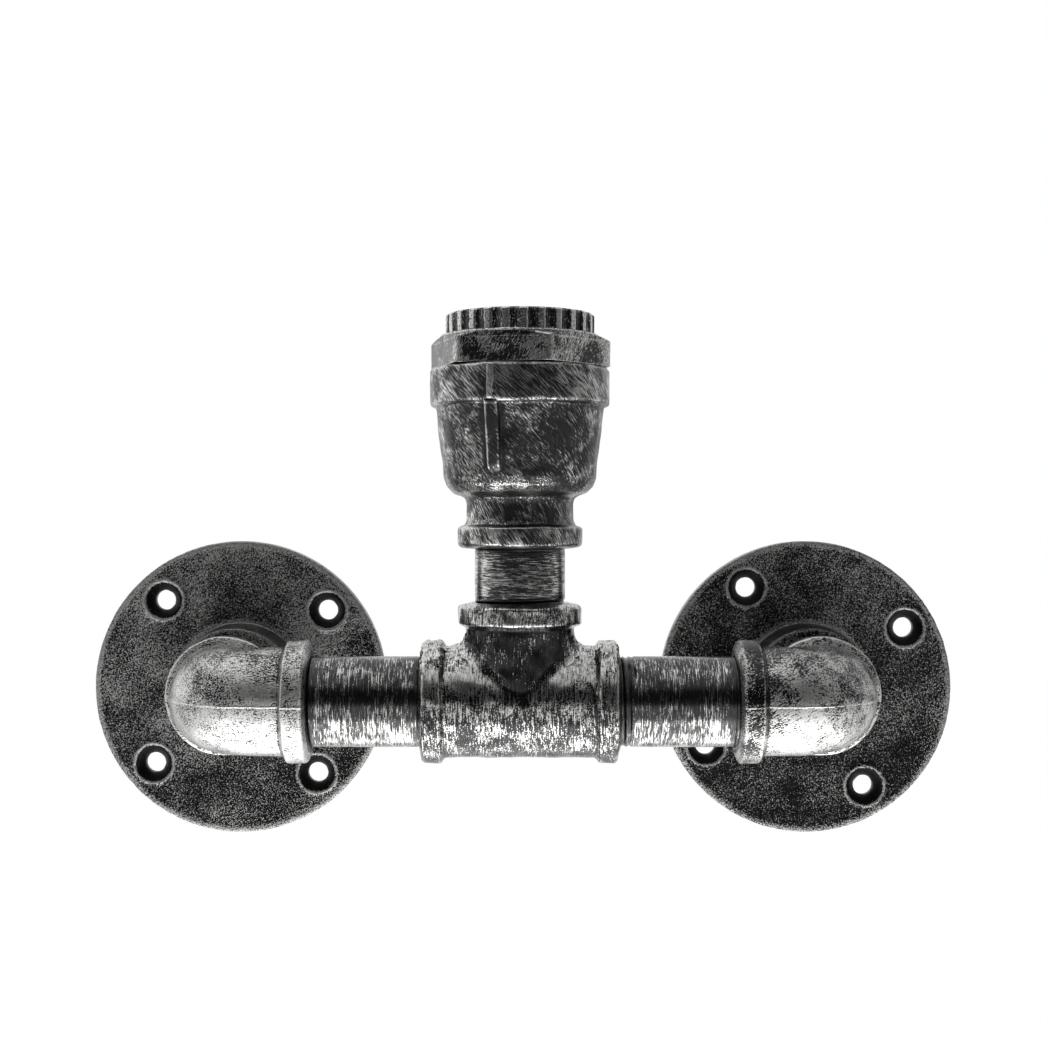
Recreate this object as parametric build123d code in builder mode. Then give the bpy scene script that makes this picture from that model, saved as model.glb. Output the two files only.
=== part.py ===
from build123d import *
import math
import os

os.makedirs("parts", exist_ok=True)

# Pipe wall light: two wall flanges carry a level pipe run on two elbows. A tee in the run
# carries an upright riser, a bell reducer, a hexagon bushing and a lampholder in its bore.
# Frame: the wall is the plane Y = 0, the light stands out towards -Y, +Z is up, +X is to the
# right. The origin is on the wall, midway between the flange axes, level with the pipe run.

# ---- Driving dimensions, millimetres ----

# Pipe and thread
pipe_od = 26.7
pipe_wall = 2.9
pipe_end_chamfer = 0.6
thread_fit = 0.08
thread_length = 13.5
thread_pitch = 1.81
thread_groove = 0.55
socket_spare = 0.5
nipple_groove_count = 2
arm_groove_count = 2
riser_groove_count = 3

# Layout
flange_spacing = 182.4
pipe_standoff = 49.7
tee_shift = -0.9
riser_exposed = 15.8

# Flanges
flange_diameter = 94.0
flange_thickness = 5.0
flange_rim_round = 1.7
flange_back_round = 0.4
hub_height = 13.8
hub_wall = 6.07
hub_taper = 1.0
hub_base_round = 2.2
hub_rim_round = 0.7
screw_edge = 9.7
screw_count = 4
screw_hole = 6.4
screw_countersink = 10.8
left_screw_angle = 41.5
right_screw_angle = 30.7

# Cast fittings
mouth_chamfer = 1.1
lip_width = 0.8
mouth_slope = 1.5
band_round = 0.7
band_shoulder = 1.0
elbow_wall = 2.55
elbow_band_wall = 4.75
elbow_band_width = 7.0
elbow_rear_stretch = 7.4
elbow_bend_room = 0.65
elbow_bore_step = 2.43
seam_height = 0.3
seam_width = 0.7
tee_wall = 2.95
tee_branch_wall = 2.55
tee_band_wall = 4.62
tee_branch_band_wall = 4.82
tee_band_width = 6.4
tee_crotch_round = 4.6
tee_bore_step = 1.63
elbow_end_room = 1.95
tee_end_room = 2.55

# Bell reducer; the bowl's height runs from its foot to the reducer's top
reducer_height = 53.0
reducer_band_wall = 4.92
reducer_band_width = 6.4
reducer_neck_wall = 2.27
bowl_height = 37.4
bowl_foot_round = 5.6
bowl_low_wall = 2.7
bowl_shoulder_rise = 5.9
bowl_top_wall = 4.9
collar_height = 11.1
collar_wall = 5.47
collar_round = 0.6
cove_depth = 0.5
reducer_bore_step = 1.63
cavity_floor_room = 1.2
cavity_side_room = 0.6
cavity_round = 4.0
rib_count = 2
rib_angle = -18.4
rib_width = 4.8
rib_height = 1.2
rib_foot_rise = 2.0
collar_rib_width = 1.3
collar_rib_height = 0.45

# Hexagon bushing
bushing_wall = 2.95
bushing_thread_length = 15.0
bushing_gap = 0.3
hexagon_seat = 2.75
hexagon_height = 8.5
hexagon_corner_angle = 18.1
hexagon_bevel = 1.3
holder_fit = 0.15

# Lampholder
skirt_wall = 2.3
skirt_shoulder_width = 1.45
skirt_shoulder_height = 3.8
skirt_above_hexagon = 6.0
insert_wall = 1.55
insert_fit = 0.1
insert_flange_wall = 0.7
insert_flange_height = 2.5
insert_floor = 5.4
insert_below_rim = 1.4
contact_recess_room = 2.0
shell_bore = 26.5
shell_wall = 0.35
shell_fit = 0.3
shell_below_insert = 0.6
plunger_head = 8.0
plunger_head_height = 1.2
plunger_stem = 3.0
plunger_fit = 0.08
plunger_travel = 2.0
spring_solid_height = 1.3
spring_od = 5.6
spring_wall = 0.9
clip_od = 6.4
clip_height = 0.8
seat_gap = 0.1
strip_width = 6.0
strip_height = 0.6
terminal_size = 6.0
terminal_height = 7.0
terminal_width = 7.0
terminal_room = 0.65
terminal_screw = 3.0
terminal_screw_head = 4.6
terminal_screw_head_height = 1.4
terminal_screw_drop = 4.4
terminal_wire_hole = 2.6
shell_tab_width = 4.0
shell_tab_fit = 0.2
cap_depth = 10.0
cap_flange_height = 1.5
cap_wall = 1.2
cap_step = 0.2
cap_flange_inset = 0.1
cap_screw = 2.0
cap_screw_head = 3.0
cap_screw_head_height = 1.1
cap_screw_edge = 1.65
cap_screw_count = 2
cap_screw_length = 4.6
bush_bore = 6.4
bush_wall = 2.0
bush_flange_width = 1.3
bush_flange_height = 1.0
earth_room = 0.65
earth_screw_od = 4.0
earth_head = 6.6
earth_head_height = 1.6
earth_nut_width = 7.0
earth_nut_height = 2.4
earth_lug_od = 8.0
earth_lug_height = 0.8
earth_lug_tail = 9.0
earth_lug_tail_width = 3.6

# Shade ring
ring_height = 7.0
ring_wall = 4.07
ring_seat_gap = 0.1
ring_fit = 0.08
ring_lip_width = 1.7
ring_lip_height = 0.8
ring_flute_count = 26
ring_flute_radius = 1.8
ring_flute_depth = 0.8
ring_top_round = 0.5
ring_mouth_chamfer = 1.2

# ---- Sizes and places that follow ----

# Pipe run
pipe_r = pipe_od / 2
socket_r = pipe_r + thread_fit
hidden_grooves = int(thread_length / thread_pitch) - 1
flange_x = flange_spacing / 2
screw_circle_r = flange_diameter / 2 - screw_edge
elbow_reach = pipe_r + elbow_end_room + thread_length
tee_reach = pipe_r + tee_end_room + thread_length
bend_radius = pipe_r + elbow_bend_room
elbow_rear_reach = bend_radius + elbow_rear_stretch
elbow_rear_y = -(pipe_standoff - elbow_rear_reach)
hub_y = -(flange_thickness + hub_height)
lamp_x = tee_shift

# Diameters of the upright stack, from the lamp's screw shell outwards
shell_r = shell_bore / 2 + shell_wall
shell_pocket_r = shell_r + shell_fit
insert_r = shell_pocket_r + insert_wall
insert_flange_r = insert_r + insert_flange_wall
skirt_bore_r = insert_r + insert_fit
skirt_r = skirt_bore_r + skirt_wall
shoulder_r = skirt_r + skirt_shoulder_width
holder_bore_r = skirt_r + holder_fit
bushing_r = holder_bore_r + bushing_wall
bushing_socket_r = bushing_r + thread_fit
hexagon_r = bushing_r + hexagon_seat
collar_r = bushing_socket_r + collar_wall
cavity_r = shoulder_r + cavity_side_room
bowl_low_r = cavity_r + bowl_low_wall
bowl_top_r = cavity_r + bowl_top_wall
cap_r = insert_flange_r - cap_step
cap_bore_r = cap_r - cap_wall
cap_flange_r = shoulder_r - cap_flange_inset
cap_screw_r = shoulder_r - cap_screw_edge
ring_bore_r = skirt_r + ring_fit
ring_r = ring_bore_r + ring_wall
ring_lip_r = ring_r + ring_lip_width

# Places inside the cap
terminal_outer = cap_bore_r - terminal_room - terminal_screw_head_height - seat_gap
terminal_place = terminal_outer - terminal_size / 2
earth_place = cap_bore_r - earth_room - earth_nut_width / 2
bush_r = bush_bore / 2 + bush_wall
bush_flange_r = bush_r + bush_flange_width

# Heights of the upright stack
reducer_z = tee_reach + riser_exposed
reducer_top = reducer_z + reducer_height
collar_z = reducer_top - collar_height
bowl_foot_z = reducer_top - bowl_height
bowl_shoulder_z = bowl_foot_z + bowl_shoulder_rise
rib_foot_z = bowl_shoulder_z + rib_foot_rise
hexagon_z = reducer_top + bushing_gap
hexagon_top = hexagon_z + hexagon_height
ring_z = hexagon_top + ring_seat_gap
ring_top = ring_z + ring_height
skirt_top = hexagon_top + skirt_above_hexagon
shoulder_top = hexagon_z - bushing_thread_length - seat_gap
skirt_z = shoulder_top - skirt_shoulder_height
insert_top = skirt_top - insert_below_rim
insert_floor_z = skirt_z + insert_floor
shell_top = insert_top - shell_below_insert
head_z = insert_floor_z + plunger_travel + spring_solid_height
insert_ledge_z = head_z + plunger_head_height + seat_gap
strip_z = skirt_z - strip_height
clip_z = strip_z - seat_gap - clip_height
terminal_z = strip_z - terminal_height
terminal_screw_z = strip_z - terminal_screw_drop
cap_top = skirt_z
cap_floor_z = cap_top - cap_flange_height - cap_depth
earth_lug_z = cap_floor_z - earth_lug_height
earth_head_z = earth_lug_z - earth_head_height
cavity_floor_z = earth_head_z - cavity_floor_room
cavity_top_z = reducer_top - bushing_thread_length - socket_spare


def section_plane(origin, along, across):
    """A plane for a half section: local Y runs along the turned axis and local X across it."""
    return Plane(origin=origin, x_dir=across, z_dir=Vector(*across).cross(Vector(*along)))


def lamp_plane(height):
    """A level plane across the lamp's upright axis at the given height."""
    return Plane(origin=(lamp_x, -pipe_standoff, height), x_dir=(1, 0, 0), z_dir=(0, 0, 1))


def turn_outline(points, origin, along, across, mode=Mode.ADD):
    """Turn a closed outline of (radius, distance) points about the axis through origin."""
    with BuildSketch(section_plane(origin, along, across)) as section:
        with BuildLine():
            Polyline(*points, close=True)
        make_face()
    revolve(section.sketch, axis=Axis(origin, along), mode=mode)


def turn_on_lamp_axis(points, mode=Mode.ADD):
    """Turn a closed outline of (radius, height) points about the lamp's upright axis."""
    turn_outline(points, (lamp_x, -pipe_standoff, 0), (0, 0, 1), (1, 0, 0), mode)


def thread_rings(start, count, step):
    """Outline points of count V grooves along a pipe, from start, one step apart."""
    points = []
    for ring in range(count):
        points.append((pipe_r, start + ring * step))
        points.append((pipe_r - thread_groove, start + (ring + 0.5) * step))
    points.append((pipe_r, start + count * step))
    return points


def pipe_outline(length, low_shown, high_shown):
    """Half section of a pipe, with the last thread grooves shown past the fitting at each end."""
    low_count = hidden_grooves + low_shown
    high_count = hidden_grooves + high_shown
    low_start = thread_length - hidden_grooves * thread_pitch
    high_start = length - thread_length - high_shown * thread_pitch
    bore_r = pipe_r - pipe_wall
    points = [(bore_r, 0), (pipe_r - pipe_end_chamfer, 0), (pipe_r, pipe_end_chamfer)]
    points += thread_rings(low_start, low_count, thread_pitch)
    points += thread_rings(high_start, high_count, thread_pitch)
    points += [(pipe_r, length - pipe_end_chamfer), (pipe_r - pipe_end_chamfer, length)]
    points += [(bore_r, length)]
    return points


def band_outline(band_wall, band_width, body_wall):
    """Half section of a fitting's band, from its mouth lip at distance 0 to its inner shoulder."""
    lip_r = socket_r + lip_width
    band_r = socket_r + band_wall
    body_r = socket_r + body_wall
    return [
        (0, 0),
        (lip_r, 0),
        (band_r - band_round, mouth_slope),
        (band_r, mouth_slope + band_round),
        (band_r, band_width - band_round / 2),
        (band_r - band_round / 2, band_width),
        (body_r, band_width + band_shoulder),
        (0, band_width + band_shoulder),
    ]


def socket_outline(depth):
    """Half section of a threaded socket: a chamfered mouth, then the plain bore."""
    mouth_r = socket_r + mouth_chamfer / 2
    return [(0, -1), (mouth_r, -1), (mouth_r, 0), (socket_r, mouth_chamfer), (socket_r, depth), (0, depth)]


# ---- Wall flanges ----
# A plate with a tapered hub, bored through, and four countersunk screw holes.
flange_r = flange_diameter / 2
hub_r = socket_r + hub_wall
hub_top = flange_thickness + hub_height
for side, sign, screw_angle in (("left", -1, left_screw_angle), ("right", 1, right_screw_angle)):
    wall_point = (sign * flange_x, 0, 0)
    with BuildPart() as flange:
        with BuildSketch(section_plane(wall_point, (0, -1, 0), (1, 0, 0))) as flange_section:
            with BuildLine():
                Polyline(
                    (socket_r, 0),
                    (flange_r, 0),
                    (flange_r, flange_thickness),
                    (hub_r + hub_taper, flange_thickness),
                    (hub_r, hub_top),
                    (socket_r + mouth_chamfer, hub_top),
                    (socket_r, hub_top - mouth_chamfer),
                    close=True,
                )
            make_face()
            for corner, round_radius in (
                ((flange_r, flange_thickness), flange_rim_round),
                ((flange_r, 0), flange_back_round),
                ((hub_r + hub_taper, flange_thickness), hub_base_round),
                ((hub_r, hub_top), hub_rim_round),
            ):
                fillet(flange_section.vertices().sort_by_distance(corner)[0], round_radius)
        revolve(axis=Axis(wall_point, (0, -1, 0)))
        plate_front = Plane(
            origin=(sign * flange_x, -flange_thickness, 0), x_dir=(1, 0, 0), z_dir=(0, -1, 0)
        )
        with Locations(plate_front):
            with PolarLocations(screw_circle_r, screw_count, screw_angle):
                CounterSinkHole(screw_hole / 2, screw_countersink / 2, depth=flange_thickness)
    flange.part.label = f"{side}_flange"
    export_step(flange.part, f"parts/{side}_flange.step")

# ---- Wall nipples ----
# A short pipe from inside the flange hub to inside the elbow's rear leg.
nipple_start_y = hub_y + thread_length
nipple_end_y = elbow_rear_y - thread_length
nipple_length = nipple_start_y - nipple_end_y
for side, sign in (("left", -1), ("right", 1)):
    with BuildPart() as wall_nipple:
        turn_outline(
            pipe_outline(nipple_length, nipple_groove_count, nipple_groove_count),
            (sign * flange_x, nipple_start_y, 0),
            (0, -1, 0),
            (1, 0, 0),
        )
    wall_nipple.part.label = f"{side}_wall_nipple"
    export_step(wall_nipple.part, f"parts/{side}_wall_nipple.step")

# ---- Elbows ----
# Two banded legs at right angles, a round bend between them and a parting seam at mid height.
elbow_r = socket_r + elbow_wall
elbow_band_r = socket_r + elbow_band_wall
elbow_bore_r = socket_r - elbow_bore_step
arm_inner = elbow_reach - bend_radius
rear_inner = elbow_rear_reach - bend_radius
rear_band_width = rear_inner - band_shoulder
band_edge = mouth_slope + band_round
seam_reach = bend_radius + elbow_r + seam_height
for side, sign in (("left", -1), ("right", 1)):
    corner_x = sign * flange_x
    arm_mouth = (sign * (flange_x - elbow_reach), -pipe_standoff, 0)
    rear_mouth = (corner_x, elbow_rear_y, 0)
    bend_x = sign * (flange_x - bend_radius)
    bend_y = -pipe_standoff + bend_radius
    bend_axis = Axis((bend_x, bend_y, 0), (0, 0, sign))
    with BuildPart() as elbow:
        # Legs
        turn_outline(
            band_outline(elbow_band_wall, elbow_band_width, elbow_wall),
            arm_mouth,
            (sign, 0, 0),
            (0, 0, 1),
        )
        turn_outline(
            [
                (0, elbow_band_width + band_shoulder),
                (elbow_r, elbow_band_width + band_shoulder),
                (elbow_r, arm_inner),
                (0, arm_inner),
            ],
            arm_mouth,
            (sign, 0, 0),
            (0, 0, 1),
        )
        turn_outline(
            band_outline(elbow_band_wall, rear_band_width, elbow_wall),
            rear_mouth,
            (0, -1, 0),
            (0, 0, 1),
        )
        # Bend: a round section turned a quarter about the bend axis, cut off at that axis
        bend_section = Plane(
            origin=(bend_x, bend_y, 0), x_dir=(0, -1, 0), z_dir=Vector(0, -1, 0).cross(Vector(0, 0, 1))
        )
        with BuildSketch(bend_section):
            with Locations((bend_radius, 0)):
                Circle(elbow_r)
            with Locations((-elbow_r, 0)):
                Rectangle(2 * elbow_r, 3 * elbow_r, mode=Mode.SUBTRACT)
        revolve(axis=bend_axis, revolution_arc=90)
        # Seam: the mid-height outline, a little larger all round
        with BuildSketch(Plane.XY.offset(-seam_width / 2)):
            with Locations((bend_x, bend_y)):
                Circle(seam_reach)
            with Locations((bend_x + sign * seam_reach / 2, bend_y - seam_reach / 2)):
                Rectangle(seam_reach, seam_reach, mode=Mode.INTERSECT)
            with Locations((bend_x - sign * arm_inner / 2, -pipe_standoff)):
                Rectangle(arm_inner, 2 * (elbow_r + seam_height))
            with Locations((arm_mouth[0] + sign * (band_edge + elbow_band_width) / 2, -pipe_standoff)):
                Rectangle(elbow_band_width - band_edge, 2 * (elbow_band_r + seam_height))
            with Locations((corner_x, elbow_rear_y - (band_edge + rear_band_width) / 2)):
                Rectangle(2 * (elbow_band_r + seam_height), rear_band_width - band_edge)
        extrude(amount=seam_width)
        # Sockets and the bore round the bend
        turn_outline(
            socket_outline(thread_length + socket_spare), arm_mouth, (sign, 0, 0), (0, 0, 1), Mode.SUBTRACT
        )
        turn_outline(
            socket_outline(thread_length + socket_spare), rear_mouth, (0, -1, 0), (0, 0, 1), Mode.SUBTRACT
        )
        with BuildSketch(bend_section):
            with Locations((bend_radius, 0)):
                Circle(elbow_bore_r)
        revolve(axis=bend_axis, revolution_arc=90, mode=Mode.SUBTRACT)
        turn_outline(
            [(0, 0), (elbow_bore_r, 0), (elbow_bore_r, arm_inner), (0, arm_inner)],
            arm_mouth,
            (sign, 0, 0),
            (0, 0, 1),
            Mode.SUBTRACT,
        )
    elbow.part.label = f"{side}_elbow"
    export_step(elbow.part, f"parts/{side}_elbow.step")

# ---- Arm pipes ----
# From inside each elbow to inside the tee's run.
arm_elbow_end = flange_x - elbow_reach + thread_length
arm_tee_end = tee_reach - thread_length
for side, sign, tee_grooves in (("left", -1, 0), ("right", 1, arm_groove_count)):
    tee_end_x = tee_shift + sign * arm_tee_end
    elbow_end_x = sign * arm_elbow_end
    with BuildPart() as arm_pipe:
        turn_outline(
            pipe_outline(abs(elbow_end_x - tee_end_x), tee_grooves, 0),
            (tee_end_x, -pipe_standoff, 0),
            (sign, 0, 0),
            (0, 0, 1),
        )
    arm_pipe.part.label = f"{side}_arm_pipe"
    export_step(arm_pipe.part, f"parts/{side}_arm_pipe.step")

# ---- Tee ----
# A run along X and a branch pointing up, blended at the crotch, with a band at each mouth.
tee_run_r = socket_r + tee_wall
tee_branch_r = socket_r + tee_branch_wall
tee_mouths = (
    ((tee_shift - tee_reach, -pipe_standoff, 0), (1, 0, 0), (0, 0, 1), tee_band_wall, tee_wall),
    ((tee_shift + tee_reach, -pipe_standoff, 0), (-1, 0, 0), (0, 0, 1), tee_band_wall, tee_wall),
    ((lamp_x, -pipe_standoff, tee_reach), (0, 0, -1), (1, 0, 0), tee_branch_band_wall, tee_branch_wall),
)
tee_body_reach = tee_reach - tee_band_width - band_shoulder
tee_bore_r = socket_r - tee_bore_step
crotch_round = min(tee_crotch_round, 0.85 * (tee_body_reach - tee_run_r))
with BuildPart() as tee:
    with BuildSketch(Plane(origin=(tee_shift - tee_body_reach, -pipe_standoff, 0), z_dir=(1, 0, 0))):
        Circle(tee_run_r)
    extrude(amount=2 * tee_body_reach)
    with BuildSketch(lamp_plane(0)):
        Circle(tee_branch_r)
    extrude(amount=tee_body_reach)
    crotch = tee.edges().filter_by(GeomType.BSPLINE)
    fillet(crotch, crotch_round)
    for mouth, inward, across, band_wall, body_wall in tee_mouths:
        turn_outline(band_outline(band_wall, tee_band_width, body_wall), mouth, inward, across)
    for mouth, inward, across, band_wall, body_wall in tee_mouths:
        turn_outline(socket_outline(thread_length + socket_spare), mouth, inward, across, Mode.SUBTRACT)
        turn_outline(
            [(0, 0), (tee_bore_r, 0), (tee_bore_r, tee_reach), (0, tee_reach)],
            mouth,
            inward,
            across,
            Mode.SUBTRACT,
        )
tee.part.label = "tee"
export_step(tee.part, "parts/tee.step")

# ---- Riser pipe ----
# From inside the tee's branch to inside the reducer's lower end.
riser_bottom = tee_reach - thread_length
riser_length = riser_exposed + 2 * thread_length
with BuildPart() as riser_pipe:
    turn_outline(
        pipe_outline(riser_length, riser_groove_count, 0),
        (lamp_x, -pipe_standoff, riser_bottom),
        (0, 0, 1),
        (1, 0, 0),
    )
riser_pipe.part.label = "riser_pipe"
export_step(riser_pipe.part, "parts/riser_pipe.step")

# ---- Bell reducer ----
# Lower band, neck, bowl and wide collar, with casting ribs up the bowl and across the collar.
neck_r = socket_r + reducer_neck_wall
reducer_band_r = socket_r + reducer_band_wall
reducer_bore_r = socket_r - reducer_bore_step
foot_round = min(bowl_foot_round, 0.95 * bowl_shoulder_rise)
with BuildPart() as bell_reducer:
    with BuildSketch(section_plane((lamp_x, -pipe_standoff, 0), (0, 0, 1), (1, 0, 0))) as reducer_section:
        with BuildLine():
            Polyline(
                (0, reducer_z),
                (socket_r + lip_width, reducer_z),
                (reducer_band_r - band_round, reducer_z + mouth_slope),
                (reducer_band_r, reducer_z + mouth_slope + band_round),
                (reducer_band_r, reducer_z + reducer_band_width - band_round / 2),
                (reducer_band_r - band_round / 2, reducer_z + reducer_band_width),
                (neck_r, reducer_z + reducer_band_width + band_shoulder),
                (neck_r, bowl_foot_z),
                (bowl_low_r, bowl_foot_z),
                (bowl_low_r, bowl_shoulder_z),
                (bowl_top_r, collar_z - cove_depth),
                (bowl_top_r + cove_depth, collar_z),
                (collar_r, collar_z),
                (collar_r, reducer_top),
                (0, reducer_top),
                close=True,
            )
        make_face()
        for corner, round_radius in (
            ((bowl_low_r, bowl_foot_z), foot_round),
            ((bowl_low_r, bowl_shoulder_z), foot_round / 2),
            ((collar_r, collar_z), collar_round),
            ((collar_r, reducer_top), collar_round),
        ):
            fillet(reducer_section.vertices().sort_by_distance(corner)[0], round_radius)
    revolve(axis=Axis((lamp_x, -pipe_standoff, 0), (0, 0, 1)))
    for rib in range(rib_count):
        outward_angle = math.radians(rib_angle - 90 + rib * 360 / rib_count)
        outward = (math.cos(outward_angle), math.sin(outward_angle), 0)
        rib_plane = section_plane((lamp_x, -pipe_standoff, 0), (0, 0, 1), outward)
        rib_low_r = bowl_low_r + rib_height
        with BuildSketch(rib_plane):
            with BuildLine():
                Polyline(
                    (neck_r, rib_foot_z - rib_height),
                    (bowl_low_r, rib_foot_z - rib_height),
                    (rib_low_r, rib_foot_z),
                    (bowl_top_r + rib_height, collar_z),
                    (neck_r, collar_z),
                    close=True,
                )
            make_face()
        extrude(amount=rib_width / 2, both=True)
        with BuildSketch(rib_plane):
            with BuildLine():
                Polyline(
                    (bowl_low_r, collar_z + collar_round),
                    (collar_r + collar_rib_height, collar_z + collar_round),
                    (collar_r + collar_rib_height, reducer_top - collar_round),
                    (bowl_low_r, reducer_top - collar_round),
                    close=True,
                )
            make_face()
        extrude(amount=collar_rib_width / 2, both=True)
    # Lower socket, bore, cavity and the wide upper socket
    turn_outline(
        socket_outline(thread_length + socket_spare),
        (lamp_x, -pipe_standoff, reducer_z),
        (0, 0, 1),
        (1, 0, 0),
        Mode.SUBTRACT,
    )
    turn_on_lamp_axis(
        [
            (0, reducer_z),
            (reducer_bore_r, reducer_z),
            (reducer_bore_r, cavity_floor_z),
            (cavity_r - cavity_round, cavity_floor_z),
            (cavity_r, cavity_floor_z + cavity_round),
            (cavity_r, cavity_top_z),
            (bushing_socket_r, cavity_top_z),
            (bushing_socket_r, reducer_top - mouth_chamfer),
            (bushing_socket_r + mouth_chamfer / 2, reducer_top),
            (0, reducer_top),
        ],
        Mode.SUBTRACT,
    )
bell_reducer.part.label = "bell_reducer"
export_step(bell_reducer.part, "parts/bell_reducer.step")

# ---- Hexagon bushing ----
# A bevelled hexagon head on a threaded stub, bored for the lampholder's skirt.
hexagon_corner_r = hexagon_r / math.cos(math.pi / 6)
with BuildPart() as hex_bushing:
    with BuildSketch(lamp_plane(hexagon_z)):
        RegularPolygon(hexagon_r, 6, major_radius=False, rotation=hexagon_corner_angle - 90)
    extrude(amount=hexagon_height)
    turn_on_lamp_axis(
        [
            (0, hexagon_z),
            (hexagon_corner_r, hexagon_z),
            (hexagon_corner_r, hexagon_top - hexagon_bevel),
            (hexagon_corner_r - 2 * hexagon_bevel, hexagon_top),
            (0, hexagon_top),
        ],
        Mode.INTERSECT,
    )
    with BuildSketch(lamp_plane(hexagon_z - bushing_thread_length)):
        Circle(bushing_r)
    extrude(amount=bushing_thread_length)
    chamfer(hex_bushing.faces().sort_by(Axis.Z)[0].edges(), mouth_chamfer / 2)
    with BuildSketch(lamp_plane(hexagon_z - bushing_thread_length)):
        Circle(holder_bore_r)
    extrude(amount=bushing_thread_length + hexagon_height, mode=Mode.SUBTRACT)
hex_bushing.part.label = "hex_bushing"
export_step(hex_bushing.part, "parts/hex_bushing.step")

# ---- Holder skirt ----
# A metal sleeve through the bushing; its shoulder bears on the stub's lower end.
skirt_step_r = insert_flange_r + insert_fit
skirt_step_z = skirt_z + insert_flange_height + insert_fit
with BuildPart() as holder_skirt:
    turn_on_lamp_axis(
        [
            (skirt_step_r, skirt_z),
            (shoulder_r, skirt_z),
            (shoulder_r, shoulder_top),
            (skirt_r, shoulder_top),
            (skirt_r, skirt_top),
            (skirt_bore_r, skirt_top),
            (skirt_bore_r, skirt_step_z),
            (skirt_step_r, skirt_step_z),
        ]
    )
    with Locations(Plane(origin=(lamp_x, -pipe_standoff, skirt_z), x_dir=(1, 0, 0), z_dir=(0, 0, -1))):
        with PolarLocations(cap_screw_r, cap_screw_count, 90):
            Hole(cap_screw / 2, depth=cap_screw_length)
holder_skirt.part.label = "holder_skirt"
export_step(holder_skirt.part, "parts/holder_skirt.step")

# ---- Holder insert ----
# A ceramic cup with a foot flange, a hole for the centre contact and a slot for the shell's tab.
stem_hole_r = plunger_stem / 2 + plunger_fit
with BuildPart() as holder_insert:
    turn_on_lamp_axis(
        [
            (stem_hole_r, skirt_z),
            (insert_flange_r, skirt_z),
            (insert_flange_r, skirt_z + insert_flange_height),
            (insert_r, skirt_z + insert_flange_height),
            (insert_r, insert_top),
            (shell_pocket_r, insert_top),
            (shell_pocket_r, insert_ledge_z),
            (plunger_head / 2 + contact_recess_room, insert_ledge_z),
            (plunger_head / 2 + contact_recess_room, insert_floor_z),
            (stem_hole_r, insert_floor_z),
        ]
    )
    with BuildSketch(lamp_plane(skirt_z)):
        with Locations((shell_r - shell_wall / 2, 0)):
            Rectangle(2 * (shell_wall + shell_tab_fit), shell_tab_width + 2 * shell_tab_fit)
    extrude(amount=insert_ledge_z - skirt_z, mode=Mode.SUBTRACT)
holder_insert.part.label = "holder_insert"
export_step(holder_insert.part, "parts/holder_insert.step")

# ---- Screw shell ----
# A thin brass sleeve that takes the lamp's cap, with a tab down through the insert.
tab_bottom = terminal_screw_z + terminal_screw_head / 2 + seat_gap
with BuildPart() as screw_shell:
    turn_on_lamp_axis(
        [
            (shell_bore / 2, insert_ledge_z),
            (shell_r, insert_ledge_z),
            (shell_r, shell_top),
            (shell_bore / 2, shell_top),
        ]
    )
    with BuildSketch(lamp_plane(tab_bottom)):
        with Locations((shell_r - shell_wall / 2, 0)):
            Rectangle(shell_wall, shell_tab_width)
    extrude(amount=insert_ledge_z + shell_wall - tab_bottom)
screw_shell.part.label = "screw_shell"
export_step(screw_shell.part, "parts/screw_shell.step")

# ---- Centre contact ----
# A sprung plunger: a domed head over the spring, a stem through the insert, a clip below.
stem_bottom = clip_z - clip_height
with BuildPart() as contact_plunger:
    turn_on_lamp_axis(
        [
            (0, stem_bottom),
            (plunger_stem / 2, stem_bottom),
            (plunger_stem / 2, head_z),
            (plunger_head / 2, head_z),
            (plunger_head / 2, head_z + plunger_head_height / 2),
            (plunger_head / 4, head_z + plunger_head_height),
            (0, head_z + plunger_head_height),
        ]
    )
contact_plunger.part.label = "contact_plunger"
export_step(contact_plunger.part, "parts/contact_plunger.step")

with BuildPart() as contact_spring:
    turn_on_lamp_axis(
        [
            (spring_od / 2 - spring_wall, insert_floor_z),
            (spring_od / 2, insert_floor_z),
            (spring_od / 2, head_z),
            (spring_od / 2 - spring_wall, head_z),
        ]
    )
contact_spring.part.label = "contact_spring"
export_step(contact_spring.part, "parts/contact_spring.step")

with BuildPart() as contact_clip:
    turn_on_lamp_axis(
        [
            (plunger_stem / 2, clip_z),
            (clip_od / 2, clip_z),
            (clip_od / 2, clip_z + clip_height),
            (plunger_stem / 2, clip_z + clip_height),
        ]
    )
contact_clip.part.label = "contact_clip"
export_step(contact_clip.part, "parts/contact_clip.step")

# ---- Terminals ----
# A live strip under the insert reaches from the stem to the live terminal block.
with BuildPart() as live_strip:
    with BuildSketch(lamp_plane(strip_z)):
        with Locations((-terminal_place / 2, 0)):
            Rectangle(terminal_place + strip_width, strip_width)
        Circle(stem_hole_r, mode=Mode.SUBTRACT)
    extrude(amount=strip_height)
live_strip.part.label = "live_strip"
export_step(live_strip.part, "parts/live_strip.step")

for pole, sign, terminal_top in (("live", -1, strip_z), ("neutral", 1, skirt_z)):
    with BuildPart() as terminal:
        with BuildSketch(lamp_plane(terminal_z)):
            with Locations((sign * terminal_place, 0)):
                Rectangle(terminal_size, terminal_width)
                Circle(terminal_wire_hole / 2, mode=Mode.SUBTRACT)
        extrude(amount=terminal_top - terminal_z)
        with BuildSketch(
            Plane(
                origin=(lamp_x + sign * terminal_place, -pipe_standoff, terminal_screw_z),
                z_dir=(sign, 0, 0),
            )
        ):
            Circle(terminal_screw / 2)
        extrude(amount=terminal_size, mode=Mode.SUBTRACT)
    terminal.part.label = f"{pole}_terminal"
    export_step(terminal.part, f"parts/{pole}_terminal.step")

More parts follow.
